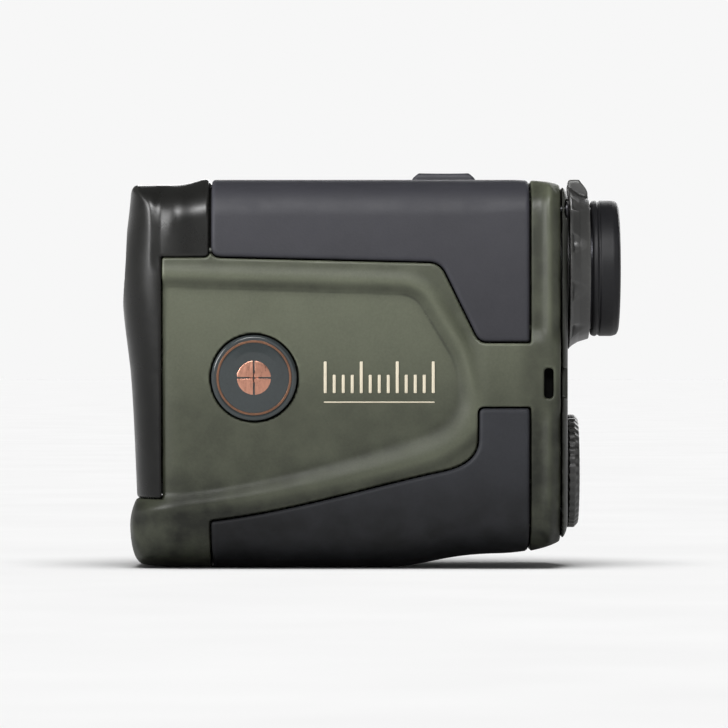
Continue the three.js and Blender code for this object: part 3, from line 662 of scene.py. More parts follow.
SIDE_OUTLINE = path(
    [-44.8, 0.5],
    [(-41, 0), (-36, 0)],
    [(5, 0)],
    [(12, 0.4), (14, 2.4), (26, 2.6)],
    [(33.5, 3.1), (37, 5.4)],
    [(REAR, 6.6), (REAR, 9.5)],
    [(REAR, 72.4)],
    [(REAR, 75.4), (34.5, 75.9)],
    [(30, TOP), (27, TOP)],
    [(-33, TOP)],
    [(-36, BROW), (-39, BROW)],
    [(-45.8, BROW)],
    [(-47.1, BROW), (-47.3, 73.4)],
    [(-47.9, 66), (-49, 62), (-49, 56)],
    [(-49, 50), (-48.2, 46), (-47.4, 39)],
    [(-46.8, 32), (-46.6, 26), (-46.1, 13.8)],
    [(-47.4, 11.4), (-47.5, 8.5)],
    [(-47.4, 1), (-44.8, 0.5)],
)
UPPER_OUTLINE = path(
    [ARMOUR_FRONT, TOP + 4],
    [(ARMOUR_FRONT, 63)],
    [(ARMOUR_FRONT, 61), (ARMOUR_FRONT + 2, 60.9)],
    [(11.5, 59.9)],
    [(13.4, 59.7), (14.3, 58)],
    [(20.2, 46)],
    [(21, BELT_HIGH), (22.6, BELT_HIGH)],
    [(ARMOUR_REAR, BELT_HIGH)],
    [(ARMOUR_REAR, TOP + 4)],
)
LOWER_OUTLINE = path(
    [ARMOUR_FRONT, -5],
    [(ARMOUR_REAR, -5)],
    [(ARMOUR_REAR, BELT_LOW)],
    [(22, BELT_LOW)],
    [(20.9, BELT_LOW), (20.9, 30.4)],
    [(20.9, 25)],
    [(20.6, 20.6), (14, 19.2)],
    [(0, 16.2), (-16, 11.2), (ARMOUR_FRONT, 9.4)],
)
# The floor of the recessed side panel.
PANEL_OUTLINE = path(
    [FRONT - 2, 55.2],
    [(FRONT - 2, 14.6)],
    [(-41, 15)],
    [(-26, 16.2), (-12, 19.8), (8, 26.3)],
    [(15.4, 28.6), (16.4, 33)],
    [(17, 37.5), (15.4, 41.5)],
    [(9.6, 51.2)],
    [(8.4, 53.2), (5.6, 53.4)],
)

SIDE = Outline(SIDE_OUTLINE, 0.3, 3.5)
UPPER = Outline(UPPER_OUTLINE, 0.25)
LOWER = Outline(LOWER_OUTLINE, 0.25)
PANEL = Outline(PANEL_OUTLINE, 0.5)

ARMOUR = 1.4
CASING_INNER = 3.5
PANEL_DEPTH = 1.35
TROUGH = 0.8
PART_GAP = 0.16
EDGE_RADII = {"front": 9.0, "rear": 4.0, "top": 7.5, "bottom": 13.5}


def edge_radius(x, z):
    """How far the body's edges are rounded, blending from one side of the outline to the next."""
    distances = {"front": x - FRONT, "rear": REAR - x, "top": TOP - z, "bottom": z}
    total = weighted = 0
    for edge, distance in distances.items():
        weight = np.exp(-np.clip(distance, 0, 60) / 4)
        total = total + weight
        weighted = weighted + weight * EDGE_RADII[edge]
    return weighted / total


def flank(x, z):
    """Half the body's width: the sides swell a little in the middle."""
    return HALF_WIDTH - 0.7 * ((z - 44) / 36) ** 2 - 0.3 * ((x + 4) / 43) ** 2


def body(x, y, z):
    return soft_max(SIDE(x, z), np.abs(y) - flank(x, z), edge_radius(x, z))


def ridge(distance, width):
    return np.exp(-((distance / width) ** 2))


def bead(x, z):
    """The raised lip round the side panel: 1 along its crest. Also how wide its inner slope is."""
    away = PANEL(x, z)
    low_side = smooth_step(z, 40, 27)
    rise = 2.8 + low_side * (0.6 + 2.0 * smooth_step(x, -32, 16))
    fall = 2.6
    crest = np.where(away < rise, smooth_step(away, 0, rise), 1 - smooth_step(away, rise, rise + fall))
    return crest, away, rise


def raised(x, z):
    """The lip and the upright ridges and the belt that join it: 1 where they stand highest."""
    crest = bead(x, z)[0]
    rear = ridge(x - 34.8, 1.15)
    belt = smooth_step(x, 18, 23) * smooth_step(np.abs(z - 38), 9.5, 5.5)
    return 1 - (1 - crest) * (1 - rear) * (1 - belt)


def relief(x, z):
    """How far the bare casing's flank lies below the body's outer form."""
    away, rise = bead(x, z)[1:]
    floor = PANEL_DEPTH * (1 - smooth_step(away, 0, rise))
    trough = TROUGH - 0.5 * smooth_step(z, 50, 56) * smooth_step(x, 28, 24)
    return np.where(away < rise, floor, trough * (1 - raised(x, z)))


def on_flank(y):
    return smooth_step(np.abs(y), 11.5, 15.5)


def skin(x, y, z):
    """Height above the bare casing's flank."""
    return np.abs(y) - flank(x, z) + relief(x, z)


EMBLEM_SEAT = 16.7
CASING_SEAM = 0.06
EMBLEM_X, _, EMBLEM_Z = ((a + b) / 2 for a, b in zip(*span("emblem_left")))
EMBLEM_RADIUS = (span("emblem_left")[1][0] - span("emblem_left")[0][0]) / 2
RANGE_SPAN = span("range_button")
MODE_SPAN = span("mode_button")
MODE_X = (MODE_SPAN[0][0] + MODE_SPAN[1][0]) / 2
MODE_RADIUS = (MODE_SPAN[1][0] - MODE_SPAN[0][0]) / 2
SCREW_PLACES = [tuple((a + b) / 2 for a, b in zip(*span(f"rear_screw_{i}")))[1:] for i in (1, 2, 3, 4)]
SLOT_X = (33.7, 35.5)
SLOT_Z = (33.4, 39.3)
SLOT_INNER = 15.9
RANGE_X = (RANGE_SPAN[0][0] + RANGE_SPAN[1][0]) / 2
BUTTON_GAP = 0.3
WELL_FLOOR = 74.1
PAD_FOOT = 75.2
STEM_RADIUS = 2
STEM_WAY_RADIUS = 2.4
STEM_WAY_FOOT = 70
HUB_HOLE = 12.7
MOUTH_HOLE = 10.2
PIN_RADIUS = 0.85
BARREL_RADIUS = 9.6


def cowl(x, z):
    """Where the bezel runs back over the brow."""
    return soft_max(x - COWL_BACK, COWL_FOOT - z, 0.9)


def button_wells(x, y, z):
    """The wells of both buttons, and the holes in their floors for the stems."""
    reach = [(RANGE_SPAN[0][k] - BUTTON_GAP, RANGE_SPAN[1][k] + BUTTON_GAP) for k in (0, 1)]
    long_well = brick(x, y, z, (*reach, (WELL_FLOOR, TOP + 9)), 1.2)
    round_well = np.hypot(x - MODE_X, y) - MODE_RADIUS - BUTTON_GAP
    wells = np.minimum(long_well, np.maximum(round_well, WELL_FLOOR - z))
    for stem_x in (MODE_X, RANGE_X):
        stem_way = np.maximum(np.hypot(x - stem_x, y) - STEM_WAY_RADIUS, STEM_WAY_FOOT - z)
        wells = np.minimum(wells, stem_way)
    return wells


def strap_way(x, y, z):
    """The slot for a cord: in at the flank and out at the rear face."""
    side = np.abs(y)
    entry = brick(x, side, z, (SLOT_X, (SLOT_INNER, HALF_WIDTH + 3), SLOT_Z), 0.7)
    way_out = brick(x, side, z, ((SLOT_X[0], REAR + 3), (SLOT_INNER, 17.4), SLOT_Z), 0.6)
    return soft_min(entry, way_out, 0.3)


def rear_holes(x, y, z):
    """The holes for the diopter ring's hub and for the battery tube's mouth."""
    hub = np.hypot(y, z - SIGHT_Z) - HUB_HOLE
    return np.minimum(hub, np.hypot(y, z - BATTERY_Z) - MOUTH_HOLE)


def casing(side):
    def field(x, y, z):
        form = body(x, y, z)
        armour = np.minimum(np.minimum(UPPER(x, z), LOWER(x, z)), cowl(x, z))
        bare = soft_max(form + relief(x, z) * on_flank(y), PART_GAP - armour, 0.4)
        solid = np.minimum(bare, form + ARMOUR + PART_GAP)
        solid = np.maximum(solid, -(form + CASING_INNER))
        solid = soft_max(solid, x - CASING_REAR, 0.3)
        bezel_room = np.maximum(x - BEZEL_BACK - PART_GAP, SHELF_Z - PART_GAP - z)
        solid = soft_max(solid, -bezel_room, 0.35)
        pocket = np.hypot(x - EMBLEM_X, z - EMBLEM_Z) - EMBLEM_RADIUS - 0.25
        solid = soft_max(solid, -np.maximum(pocket, EMBLEM_SEAT - np.abs(y)), 0.25)
        solid = np.maximum(solid, -button_wells(x, y, z))
        solid = soft_max(solid, -strap_way(x, y, z), 0.35)
        solid = np.maximum(solid, -np.maximum(rear_holes(x, y, z), 30 - x))
        return soft_max(solid, CASING_SEAM - side * y, 0.12)

    return field


# The most painted shade the casing takes, and how deep in painted shade a face must lie to take the
# near-black material.
MOST_PAINTED_SHADE = 0.9
UNLIT_FROM = 0.95


def underside(z, most):
    """Painted shade, darker towards the bottom: strongest at the foot of the body."""
    return most * smooth_step(z, 21, 2)


def casing_shade(x, y, z):
    """Painted shade in the troughs, at the panel's edge, by the rear plate, on the rear strip, on the chin
    and towards the bottom, and painted darkness in the slots and inside.
    """
    crest, away, rise = bead(x, z)
    trough = (0.42 + 0.16 * smooth_step(x, 24, 30)) * (1 - raised(x, z))
    trough = trough * smooth_step(away, rise * 0.8, rise)
    foot = (0.3 + 0.2 * smooth_step(z, 46, 52)) * ridge(away - 0.9, 1.2)
    gap = 0.5 * smooth_step(x, 35.8, 37)
    painted_shade_share = np.maximum(np.maximum(trough, foot), gap) * on_flank(y)
    low_down = 0.4 * smooth_step(z, 44, 29) * (1 - crest)
    strip = 0.42 * smooth_step(x, 28, 31)
    chin = 0.6 * smooth_step(x, -20, -34) * smooth_step(z, 21, 12)
    for share in (underside(z - 2, 0.9), low_down, strip, chin):
        painted_shade_share = painted_shade_share + share * (1 - painted_shade_share)
    painted_shade_share = np.minimum(painted_shade_share, MOST_PAINTED_SHADE)
    slot = smooth_step(0.5 - strap_way(x, y, z), 0, 0.3) * smooth_step(-skin(x, y, z), 0.1, 0.5)
    inside = smooth_step(-body(x, y, z), 1.4, 1.53)
    return np.maximum(painted_shade_share, np.maximum(slot, inside))


def keel_shade(x, y, z):
    return underside(z - 3, 0.92)


def bezel_shade(x, y, z):
    return 0.8 * smooth_step(z, 66, 22)


def armour_cover(outline, x, y, z):
    """A rubber skin over the body, within an outline."""
    form = body(x, y, z) + 0.12
    cover = soft_max(form, outline(x, z) + PART_GAP, 0.75)
    return np.maximum(cover, -(form + ARMOUR - 0.12))


def armour_top(x, y, z):
    return soft_max(armour_cover(UPPER, x, y, z), -button_wells(x, y, z), 0.5)


def armour_bottom(x, y, z):
    return armour_cover(LOWER, x, y, z)


# Stations (x, radius) of the two round openings in the bezel.
WIDE_MOUTH = [(-50, 12.9), (-48, 12.3), (-46.2, 11.2), (-44, 11.2), (-43.9, 12.8)]
NARROW_MOUTH = [(-50, 10.3), (-47.2, 9.7), (-45.4, 8.7), (-43.9, 8.7), (-43.8, 10.3)]


def cowl_relief(x, y, z):
    """Hollows either side of the soft upright ridge on the bezel's cowl."""
    hollow = smooth_step(x, -43.5, -41) * (1 - ridge(x + 37.9, 2.4))
    return 0.55 * hollow * on_flank(y) * smooth_step(z, 57, 62)


def front_bezel(x, y, z):
    form = body(x, y, z) + 0.03
    hood = np.maximum(x - BEZEL_BACK, SHELF_Z - z)
    outer = soft_max(form + cowl_relief(x, y, z), np.minimum(hood, cowl(x, z)), 0.6)
    thickness = 2.2 - 0.8 * smooth_step(x, -42.6, -41.3)
    shell = np.maximum(outer, -(form + thickness))
    objective = np.hypot(y, z - SIGHT_Z)
    receiver = np.hypot(y, z - RECEIVER_Z)
    collars = np.minimum(objective - 13.9, receiver - 11.4)
    collars = np.maximum(collars, x - BEZEL_BACK)
    solid = soft_min(shell, np.maximum(np.maximum(collars, outer), -46 - x), 0.4)
    for away, stations in ((objective, WIDE_MOUTH), (receiver, NARROW_MOUTH)):
        solid = soft_max(solid, np.interp(x, *zip(*stations)) - away, 0.5)
    return solid


def rear_plate(x, y, z):
    solid = soft_max(body(x, y, z) + 0.05, PLATE_FRONT - x, 0.2)
    solid = soft_max(solid, -rear_holes(x, y, z), 0.25)
    for screw_y, screw_z in SCREW_PLACES:
        hole = np.hypot(y - screw_y, z - screw_z)
        solid = soft_max(solid, -np.maximum(hole - 1.9, 37.8 - x), 0.15)
        solid = np.maximum(solid, 1 - hole)
    return soft_max(solid, -strap_way(x, y, z), 0.3)


def range_button(x, y, z):
    (x0, y0, z0), (x1, y1, z1) = RANGE_SPAN
    half = (x1 - x0) / 2
    cap = brick(x, y, z, ((x0, x1), (y0, y1), (PAD_FOOT, z1)), 1.1)
    slope_out = z - z1 + np.maximum(np.abs(x - RANGE_X) - half + 1.6, 0) * 0.9
    dish = 0.75 * (1 - ((x - RANGE_X) / (half - 1.2)) ** 2)
    cap = soft_max(cap, slope_out, 0.5)
    cap = soft_max(cap, z - z1 + np.clip(dish, 0, 1) * smooth_step(np.abs(y), y1, y1 - 2.2), 0.3)
    stem = np.maximum(np.hypot(x - RANGE_X, y) - STEM_RADIUS, slab(z, z0, 76))
    return soft_min(cap, stem, 0.2)


def mode_button(x, y, z):
    z0, z1 = MODE_SPAN[0][2], MODE_SPAN[1][2]
    away = np.hypot(x - MODE_X, y)
    cap = soft_max(away - MODE_RADIUS, slab(z, z1 - 1.2, z1 - 0.05 - 0.35 * ridge(away, 2.4)), 0.4)
    stem = np.maximum(away - STEM_RADIUS, slab(z, z0, z1 - 1))
    return np.minimum(cap, stem)


# ---- fields of the round pieces
def pin_track(x, y, z, start, end, reach):
    """A slot that a radial pin runs in, from (x, degrees) to (x, degrees), cut through a tube."""
    turned_to = np.degrees(np.arctan2(z - SIGHT_Z, y))
    middle = (start[1] + end[1]) / 2
    turned_to = (turned_to - middle + 180) % 360 - 180 + middle
    along = (end[0] - start[0], math.radians(end[1] - start[1]) * reach)
    to_x = x - start[0]
    to_arc = np.radians(turned_to - start[1]) * reach
    share = np.clip((to_x * along[0] + to_arc * along[1]) / (along[0] ** 2 + along[1] ** 2), 0, 1)
    return np.hypot(to_x - share * along[0], to_arc - share * along[1]) - PIN_RADIUS


def eyepiece_barrel(x, y, z):
    away = np.hypot(y, z - SIGHT_Z)
    wall = soft_max(np.abs(away - BARREL_RADIUS) - 0.38, slab(x, 29.8, 47.4), 0.15)
    flange = soft_max(slab(away, 9.25, 12.6), slab(x, 29.8, 31.2), 0.2)
    wall = soft_min(wall, flange, 0.2)
    wall = soft_max(wall, -pin_track(x, y, z, (37.7, 90), (38.9, 90), BARREL_RADIUS), 0.1)
    return soft_max(wall, -pin_track(x, y, z, (42, 200), (46, 310), BARREL_RADIUS), 0.1)


def cam_sleeve(x, y, z):
    away = np.hypot(y, z - SIGHT_Z)
    wall = soft_max(np.abs(away - 10.65) - 0.33, slab(x, 40.9, 47.4), 0.15)
    return soft_max(wall, -pin_track(x, y, z, (42, 200), (46, 200), 10.6), 0.1)


RING_PROFILE = [
    [36, 10.3], [36, 12.3], [38.9, 12.3], [38.9, 16.3], [39.8, 15.5], [41, 14.7], [43.1, 14.0],
    [43.1, 12.7], [40.6, 12.7], [40.6, 10.3],
]
GRIP_COUNT = 10
GRIP_REACH = 16.7
GRIP_RADIUS = 2.1


def diopter_ring(x, y, z):
    away = np.hypot(y, z - SIGHT_Z)
    ring = outline_distance(RING_PROFILE, x, away) + 0.05
    for i in range(1, GRIP_COUNT):
        angle = math.pi / 2 + i * 2 * math.pi / GRIP_COUNT
        to_y = y - GRIP_REACH * math.cos(angle)
        to_z = z - SIGHT_Z - GRIP_REACH * math.sin(angle)
        scallop = np.maximum(np.hypot(to_y, to_z) - GRIP_RADIUS, 39.6 - x)
        ring = soft_max(ring, -scallop, 0.5)
    height = z - SIGHT_Z
    leaned = soft_max(slab(x, 38.95, 42.9), height - 17.55 + 1.25 * np.maximum(x - 41.2, 0), 0.6)
    fin = soft_max(soft_max(leaned, 13.2 - height, 0.2), np.abs(y) - 2.35, 0.6)
    ring = soft_min(ring, fin, 0.5)
    track = pin_track(x, y, z, (38.9, 40), (37.7, 140), 11)
    return np.maximum(ring, -np.maximum(track, away - 11.7))


CAP_PROFILE = [
    [39.6, 0], [39.6, 8.1], [34.4, 8.1], [34.4, 9.6], [36.6, 9.6], [36.6, 8.6], [38, 8.6],
    [38, 9.6], [38.8, 9.6], [38.8, 11.25], [40.2, 11.25], [41.05, 10.3], [41.05, 0],
]
CAP_FLUTES = 40


def battery_cap(x, y, z):
    away = np.hypot(y, z - BATTERY_Z)
    turned_to = np.arctan2(z - BATTERY_Z, y)
    flutes = 0.16 * (0.5 + 0.5 * np.cos(CAP_FLUTES * turned_to)) * smooth_step(away, 9.8, 10.9)
    cap = outline_distance(CAP_PROFILE, x, away) + 0.05 + flutes
    cap = soft_max(cap, x - 41.05 + 0.25 * smooth_step(away, 9.4, 9.0), 0.1)
    coin = brick(x, y, z, ((40.4, 43), (-7.2, 7.2), (BATTERY_Z - 0.9, BATTERY_Z + 0.9)), 0.3)
    return soft_max(cap, -coin, 0.2)


SCREW_HEAD = (38.0, 38.5)


def screw(screw_y, screw_z):
    def field(x, y, z):
        away = np.hypot(y - screw_y, z - screw_z)
        head = soft_max(away - 1.58, slab(x, *SCREW_HEAD), 0.14)
        shank = soft_max(away - 0.7, slab(x, 31, SCREW_HEAD[0] + 0.1), 0.2)
        socket = 0
        for i in range(3):
            angle = math.pi / 6 + i * math.pi / 3
            across = (y - screw_y) * math.cos(angle) + (z - screw_z) * math.sin(angle)
            socket = np.maximum(np.abs(across) - 0.66, socket if i else -9)
        return soft_max(np.minimum(head, shank), -np.maximum(socket, 38.2 - x), 0.08)

    return field


# ---- fields of the side trims
MARK_SPAN = (-9.3, 12.4)
MARK_FOOT = 34.4
MARK_COUNT = 13
MARK_TALL = 6.2
MARK_SHORT = 3.6
MARK_WIDTH = 0.62
BASELINE = (32.5, 32.8)


def side_scale(side):
    """Raised graduation marks over a fine line."""

    def field(x, y, z):
        flat = brick2(x, z, MARK_SPAN, BASELINE)
        pitch = (MARK_SPAN[1] - MARK_SPAN[0] - MARK_WIDTH) / (MARK_COUNT - 1)
        for i in range(MARK_COUNT):
            left = MARK_SPAN[0] + i * pitch
            tall = MARK_TALL if i % 4 == 0 else MARK_SHORT
            flat = np.minimum(flat, brick2(x, z, (left, left + MARK_WIDTH), (MARK_FOOT, MARK_FOOT + tall)))
        height = skin(x, y, z)
        return np.maximum(soft_max(flat, slab(height, -0.12, 0.2), 0.08), -side * y)

    return field


def brick2(x, z, span_x, span_z):
    return soft_max(slab(x, *span_x), slab(z, *span_z), 0.12)


ROUNDEL_RADIUS = 3.4
ROUNDEL_SEAT = 18.3


def roundel(side):
    """A domed disc quartered by two fine grooves."""

    def field(x, y, z):
        to_x, to_z = x - EMBLEM_X, z - EMBLEM_Z
        away = np.hypot(to_x, to_z)
        out = side * y
        disc = soft_max(away - ROUNDEL_RADIUS, out - 18.95 + 0.05 * away**2 / 2, 0.15)
        disc = np.maximum(disc, ROUNDEL_SEAT - out)
        groove = np.minimum(np.abs(to_x), np.abs(to_z)) - 0.16
        groove = np.maximum(groove, np.minimum(1.0 - away, 0))
        return soft_max(disc, -np.maximum(groove, 18.55 - out), 0.05)

    return field


# ---- carving them all
def around(low, high, pad=0.6):
    return [value - pad for value in low], [value + pad for value in high]


def carve_over(name, field, node, material, step=0.4, share=0.4, shade=None):
    low, high = around(*span(node))
    return finished(carve(name, field, low, high, step, share, shade), material, node)


def make_casing(word, side):
    """Half the casing: moulded olive outside, painted dark in its slots and within."""
    shell = carve_over(f"casing_shell_{word}", casing(side), f"casing_{word}", OLIVE, shade=casing_shade)
    mesh = shell.data
    mesh.materials.append(UNLIT)
    painted_dark = np.empty(len(mesh.vertices), np.float32)
    mesh.attributes["painted_shade"].data.foreach_get("value", painted_dark)
    # Faces deep in painted shade take the near-black material, a painted shadow.
    for face in mesh.polygons:
        if painted_dark[list(face.vertices)].min() > UNLIT_FROM:
            face.material_index = 1


make_casing("left", -1)
make_casing("right", 1)
carve_over("armour_roof", armour_top, "armour_top", RUBBER)
carve_over("armour_keel", armour_bottom, "armour_bottom", LOW_RUBBER, shade=keel_shade)
carve_over("objective_bezel", front_bezel, "front_bezel", BLACK, 0.35, 0.45, bezel_shade)
carve_over("eyepiece_plate", rear_plate, "rear_plate", PLATE, 0.3, 0.4)
carve_over("range_button_pad", range_button, "range_button", RUBBER, 0.2, 0.5)
carve_over("mode_button_pad", mode_button, "mode_button", RUBBER, 0.2, 0.5)
carve_over("eyepiece_tube", eyepiece_barrel, "eyepiece_barrel", ANODISED, 0.24, 0.35)
carve_over("eyecup_cam", cam_sleeve, "eyecup_cam_sleeve", ANODISED, 0.22, 0.4)
carve_over("diopter_dial", diopter_ring, "diopter_ring", RING, 0.25, 0.5)
carve_over("battery_door", battery_cap, "battery_cap", RING, 0.22, 0.5)
for number, place in enumerate(SCREW_PLACES, 1):
    carve_over(f"plate_screw_{number}", screw(*place), f"rear_screw_{number}", BLACK_STEEL, 0.13, 0.6)


def trim(name, field, node, material, low, high, step):
    piece = carve(name, field, low, high, step, 0.6)
    return finished(piece, material, node, stands_in=False)


for word, side in (("left", -1), ("right", 1)):
    near, far = sorted((side * 16, side * 19))
    low, high = (MARK_SPAN[0] - 0.5, near, 32.0), (MARK_SPAN[1] + 0.5, far, MARK_FOOT + MARK_TALL + 0.5)
    trim(f"side_scale_{word}", side_scale(side), f"casing_{word}", PRINT, low, high, 0.16)
    reach = ROUNDEL_RADIUS + 0.4
    low, high = (EMBLEM_X - reach, near, EMBLEM_Z - reach), (EMBLEM_X + reach, far, EMBLEM_Z + reach)
    trim(f"emblem_roundel_{word}", roundel(side), f"emblem_{word}", COPPER, low, high, 0.12)


# ---- turned pieces
def curved(vertex, edge, radius, count=10):
    """A lens surface from its vertex on the axis out to its edge."""
    shares = [i / count for i in range(count + 1)]
    return [[vertex + (edge - vertex) * share**2, radius * share] for share in shares]


def lens(front, front_edge, back_edge, back, radius):
    profile = curved(front, front_edge, radius)
    return profile + list(reversed(curved(back, back_edge, radius)))


def turn_over(name, profile, node, material, z, radius=0.15, segments=112):
    return finished(turn(name, profile, (0, z), radius, segments), material, node)


CROWN = lens(-45.2, -43.5, -41.6, -39.9, 10.6)
FLINT = lens(-39.5, -41.2, -37.3, -37.8, 10.6)
turn_over("objective_front_lens", CROWN, "objective_crown_lens", LENS, SIGHT_Z)
turn_over("objective_rear_lens", FLINT, "objective_flint_lens", LENS, SIGHT_Z)
turn_over("receiver_window", lens(-43.6, -42, -38.5, -38.4, 8.4), "receiver_lens", LENS, RECEIVER_Z)
turn_over("eyepiece_field_lens", lens(28.6, 29.6, 32, 32.9, 7.7), "field_lens", LENS, SIGHT_Z)
turn_over("eyepiece_eye_lens", lens(38.2, 39.4, 42.3, 43.4, 7.7), "eye_lens", LENS, SIGHT_Z)

OBJECTIVE_CELL = [
    [-45, 10.9], [-45, 12.4], [-43.6, 12.4], [-43.6, 11.5], [-42.4, 11.5], [-42.4, 12.4], [-30, 12.4],
    [-30, 9.6], [-36.9, 9.6], [-36.9, 10.9],
]
RECEIVER_CELL = [
    [-43.7, 8.7], [-43.7, 9.9], [-31, 9.9], [-12, 5.2], [-12, 4], [-31, 7.4], [-38, 7.4], [-38, 8.7],
]
OBJECTIVE_RING = [[-45.1, 9.9], [-45.1, 10.6], [-44.1, 10.6], [-44.1, 9.7], [-44.6, 9.7]]
RECEIVER_RING = [[-43.6, 8.0], [-43.6, 8.4], [-42.6, 8.4], [-42.6, 7.8], [-43.1, 7.8]]
turn_over("objective_barrel", OBJECTIVE_CELL, "objective_cell", ANODISED, SIGHT_Z)
turn_over("receiver_barrel", RECEIVER_CELL, "receiver_cell", ANODISED, RECEIVER_Z)
turn_over("objective_lock_ring", OBJECTIVE_RING, "objective_retaining_ring", ANODISED, SIGHT_Z, 0.08)
turn_over("receiver_lock_ring", RECEIVER_RING, "receiver_retaining_ring", ANODISED, RECEIVER_Z, 0.08)

OCULAR_CELL = [[27.2, 8], [27.2, 8.9], [44, 8.9], [44, 8.3], [43.7, 8]]
EYECUP_CORE = [[40.9, 11.3], [40.9, 12.1], [48, 12.1], [48, 11.3]]
EYECUP = [
    [43.45, 12.4], [43.45, 13.1], [43.9, 13.45], [44.5, 13.45], [44.7, 13.2], [45.0, 13.2],
    [45.2, 13.45], [47.6, 13.45], [48.6, 13.15], [48.97, 12.4], [48.97, 11.6], [48.6, 10.95],
    [48.3, 11.3], [48.3, 12.4],
]
turn_over("ocular_tube", OCULAR_CELL, "ocular_cell", BLACK, SIGHT_Z)
turn_over("eyecup_tube", EYECUP_CORE, "eyecup_core", ANODISED, SIGHT_Z)
turn_over("eyecup_sleeve_rubber", EYECUP, "eyecup_rubber", EYE_RUBBER, SIGHT_Z, 0.25)

BATTERY_TUBE = [
    [6, 0], [6, 9.1], [32.5, 9.1], [32.5, 11.1], [37, 11.1], [37, 10], [33.5, 10], [33.5, 8.1],
    [7.4, 8.1], [7.4, 0],
]
CELL = [
    [8.7, 0], [8.7, 2.9], [9.6, 3.0], [9.6, 6.9], [9.4, 7.1], [9.6, 7.6], [10.1, 7.8], [35.1, 7.8],
    [35.6, 7.4], [35.5, 6.9], [35.7, 6.4], [35.7, 0],
]
CONTACT_PLATE = [[36, 0], [36, 4.2], [36.3, 6.8], [36.8, 6.8], [36.6, 4.4], [36.6, 0]]


def seal_section(x, radius, thickness):
    angles = [2 * math.pi * i / 14 for i in range(14)]
    return [[x - thickness * math.cos(a), radius + thickness * math.sin(a)] for a in angles]


turn_over("battery_well", BATTERY_TUBE, "battery_tube", BLACK, BATTERY_Z)
turn_over("battery_contact_disc", CONTACT_PLATE, "battery_contact_plate", BRASS, BATTERY_Z, 0.08)
turn_over("battery_door_seal", seal_section(37.3, 9.25, 0.38), "battery_cap_seal", SEAL, BATTERY_Z, 0.02)
turn_over("objective_o_ring", seal_section(-43, 12.2, 0.38), "objective_seal", SEAL, SIGHT_Z, 0.02)


def make_battery():
    """A lithium cell: a printed sleeve over a steel can, whose ends show."""
    cell = turn_over("lithium_cell", CELL, "battery", WRAP, BATTERY_Z, 0.12)
    cell.data.materials.append(STEEL)
    for face in cell.data.polygons:
        along, y, z = face.center / MM
        reach = math.hypot(y, z - BATTERY_Z)
        if reach < 6.9 or along < 9.7:
            face.material_index = 1


make_battery()

EMBLEM_RIM = EMBLEM_RADIUS - 0.05
EMBLEM_BACK = 17.0
EMBLEM_DOME = [
    [EMBLEM_BACK, 0], [EMBLEM_BACK, EMBLEM_RIM], [18.1, EMBLEM_RIM], [18.45, EMBLEM_RIM - 0.5],
    [18.3, 7.2], [18.45, 6.6], [18.6, 5.0], [18.66, 3.5], [18.68, 0],
]
EMBLEM_LINE = [[18.2, 6.85], [18.2, 7.35], [18.52, 7.3], [18.52, 6.9]]


def make_emblem(word, side):
    """A domed, lacquered disc with a thin copper line near its rim."""
    node = f"emblem_{word}"
    centre = (EMBLEM_X, EMBLEM_Z)
    dome = [[side * along, reach] for along, reach in EMBLEM_DOME]
    line = [[side * along, reach] for along, reach in EMBLEM_LINE]
    finished(turn(f"emblem_disc_{word}", dome, centre, 0.2, 96, "Y"), DISC, node)
    loop = turn(f"emblem_line_{word}", line, centre, 0.05, 96, "Y")
    finished(loop, BRONZE, node, stands_in=False)


make_emblem("left", -1)
make_emblem("right", 1)

SPRING_TURNS = 3
SPRING_WIRE = 0.24


def make_spring():
    """The conical spring under the battery cap, as one swept wire."""
    steps, sides = 40 * SPRING_TURNS, 10
    points, faces = [], []
    for i in range(steps + 1):
        share = i / steps
        angle = share * SPRING_TURNS * 2 * math.pi
        reach = 5.85 - 1.5 * share
        for j in range(sides):
            around_wire = 2 * math.pi * j / sides
            r = reach + SPRING_WIRE * math.cos(around_wire)
            x = 37.5 + 1.4 * share + SPRING_WIRE * math.sin(around_wire)
            points.append((x, r * math.cos(angle), BATTERY_Z + r * math.sin(angle)))
    for i in range(steps):
        for j in range(sides):
            a, b = i * sides + j, i * sides + (j + 1) % sides
            faces.append((a, b, b + sides, a + sides))
    faces.append(tuple(reversed(range(sides))))
    faces.append(tuple(range(steps * sides, (steps + 1) * sides)))
    piece = new_object("battery_coil_spring", mesh_of("battery_coil_spring", points, faces))
    finished(piece, STEEL, "battery_spring")


make_spring()


# ---- camera, light and floor
FRAME_WIDTH = 144.6 * MM
FLOOR_LIGHT = 2.95
CAMERA_X = -1.44 * MM
CAMERA_Z = 40.1 * MM


def make_camera():
    camera = bpy.data.objects.new("camera", bpy.data.cameras.new("camera"))
    bpy.context.scene.collection.objects.link(camera)
    camera.data.lens = 250
    camera.data.sensor_width = 36
    distance = FRAME_WIDTH * camera.data.lens / camera.data.sensor_width
    camera.location = (CAMERA_X, -distance, CAMERA_Z)
    camera.rotation_euler = (math.radians(90), 0, 0)
    camera.data.clip_end = 20
    bpy.context.scene.camera = camera


def aim(light, place, target=(0, 0, 0.04)):
    light.location = place
    light.rotation_euler = (Vector(target) - Vector(place)).to_track_quat("-Z", "Y").to_euler()


def make_light(name, kind, place, energy, **settings):
    lamp = bpy.data.lights.new(name, kind)
    lamp.energy = energy
    for setting, value in settings.items():
        setattr(lamp, setting, value)
    light = bpy.data.objects.new(name, lamp)
    bpy.context.scene.collection.objects.link(light)
    light.visible_camera = False
    aim(light, place)
    return light


def soft_box(name, place, watts, width, height, spread=180):
    """A rectangular area light; its spread is in degrees."""
    settings = {"shape": "RECTANGLE", "size": width, "size_y": height, "spread": math.radians(spread)}
    return make_light(name, "AREA", place, watts, **settings)


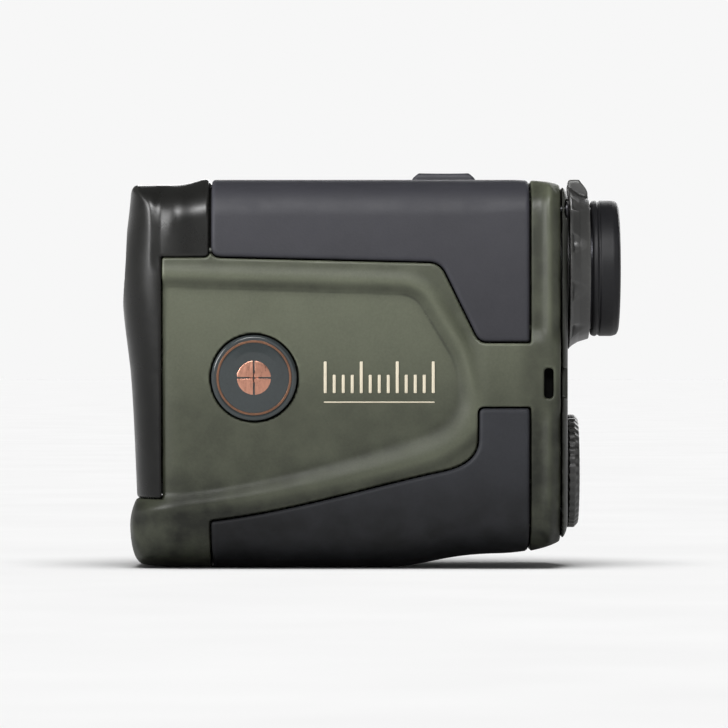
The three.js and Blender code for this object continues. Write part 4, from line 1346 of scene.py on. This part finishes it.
def make_key():
    """A long soft box, high in front, whose light is thrown at the upper half."""
    key = soft_box("key", (-0.05, -0.24, 0.25), 0.27, 0.4, 0.08, 40)
    aim(key, key.location, (-0.02, -0.02, 0.123))
    return key


def make_kicker():
    """A smaller light from ahead and to the side, which catches the front's upper edges."""
    kicker = soft_box("kicker", (-0.32, -0.26, 0.21), 0.17, 0.1, 0.2, 50)
    aim(kicker, kicker.location, (-0.04, -0.01, 0.1))
    return kicker


def make_fill():
    return soft_box("back fill", (0.15, 0.5, 0.22), 2.2, 0.5, 0.25)


def make_floor():
    """A wide pale table top, with an even light of its own."""
    size = 12.0
    mesh = bpy.data.meshes.new("floor")
    corners = [(-size, -size, 0), (size, -size, 0), (size, size, 0), (-size, size, 0)]
    mesh.from_pydata(corners, [], [(0, 1, 2, 3)])
    floor = new_object("floor", mesh)
    graph = Graph("pale floor")
    tone = graph.spread(graph.noise(60, 2), 0.3, 0.7, 0, 1)
    pale = graph.blend(tone, linear(238, 238, 238), linear(242, 242, 242))
    graph.drive("Base Color", pale)
    graph.set(Roughness=0.9, Specular_IOR_Level=0.0)
    mesh.materials.append(graph.material)
    only_floor = bpy.data.collections.new("only the floor")
    only_floor.objects.link(floor)
    overhead = make_light("floor light", "SUN", (0.05, -0.2, 1.0), FLOOR_LIGHT, angle=math.radians(40))
    overhead.light_linking.receiver_collection = only_floor
    for light in (make_key(), make_kicker(), make_fill()):
        not_floor = bpy.data.collections.new(f"{light.name} reach")
        not_floor.objects.link(floor)
        not_floor.collection_objects[0].light_linking.link_state = "EXCLUDE"
        light.light_linking.receiver_collection = not_floor


HORIZON = 0.93
CEILING = 0.13
BAND_TOP = (0.085, 0.22)


def make_world():
    """A pale band round the horizon under a dim ceiling."""
    world = bpy.data.worlds.new("studio")
    bpy.context.scene.world = world
    world.use_nodes = True
    tree = world.node_tree
    background = tree.nodes["Background"]
    background.inputs["Color"].default_value = (1, 1, 1, 1)
    direction = tree.nodes.new("ShaderNodeTexCoord")
    split = tree.nodes.new("ShaderNodeSeparateXYZ")
    ramp = tree.nodes.new("ShaderNodeMapRange")
    ramp.interpolation_type = "SMOOTHSTEP"
    sockets = ("From Min", "From Max", "To Min", "To Max")
    for socket, value in zip(sockets, (*BAND_TOP, HORIZON, CEILING)):
        ramp.inputs[socket].default_value = value
    tree.links.new(direction.outputs["Generated"], split.inputs["Vector"])
    tree.links.new(split.outputs["Z"], ramp.inputs["Value"])
    tree.links.new(ramp.outputs["Result"], background.inputs["Strength"])


make_camera()
make_world()
make_floor()
bpy.context.scene.view_settings.view_transform = "Standard"
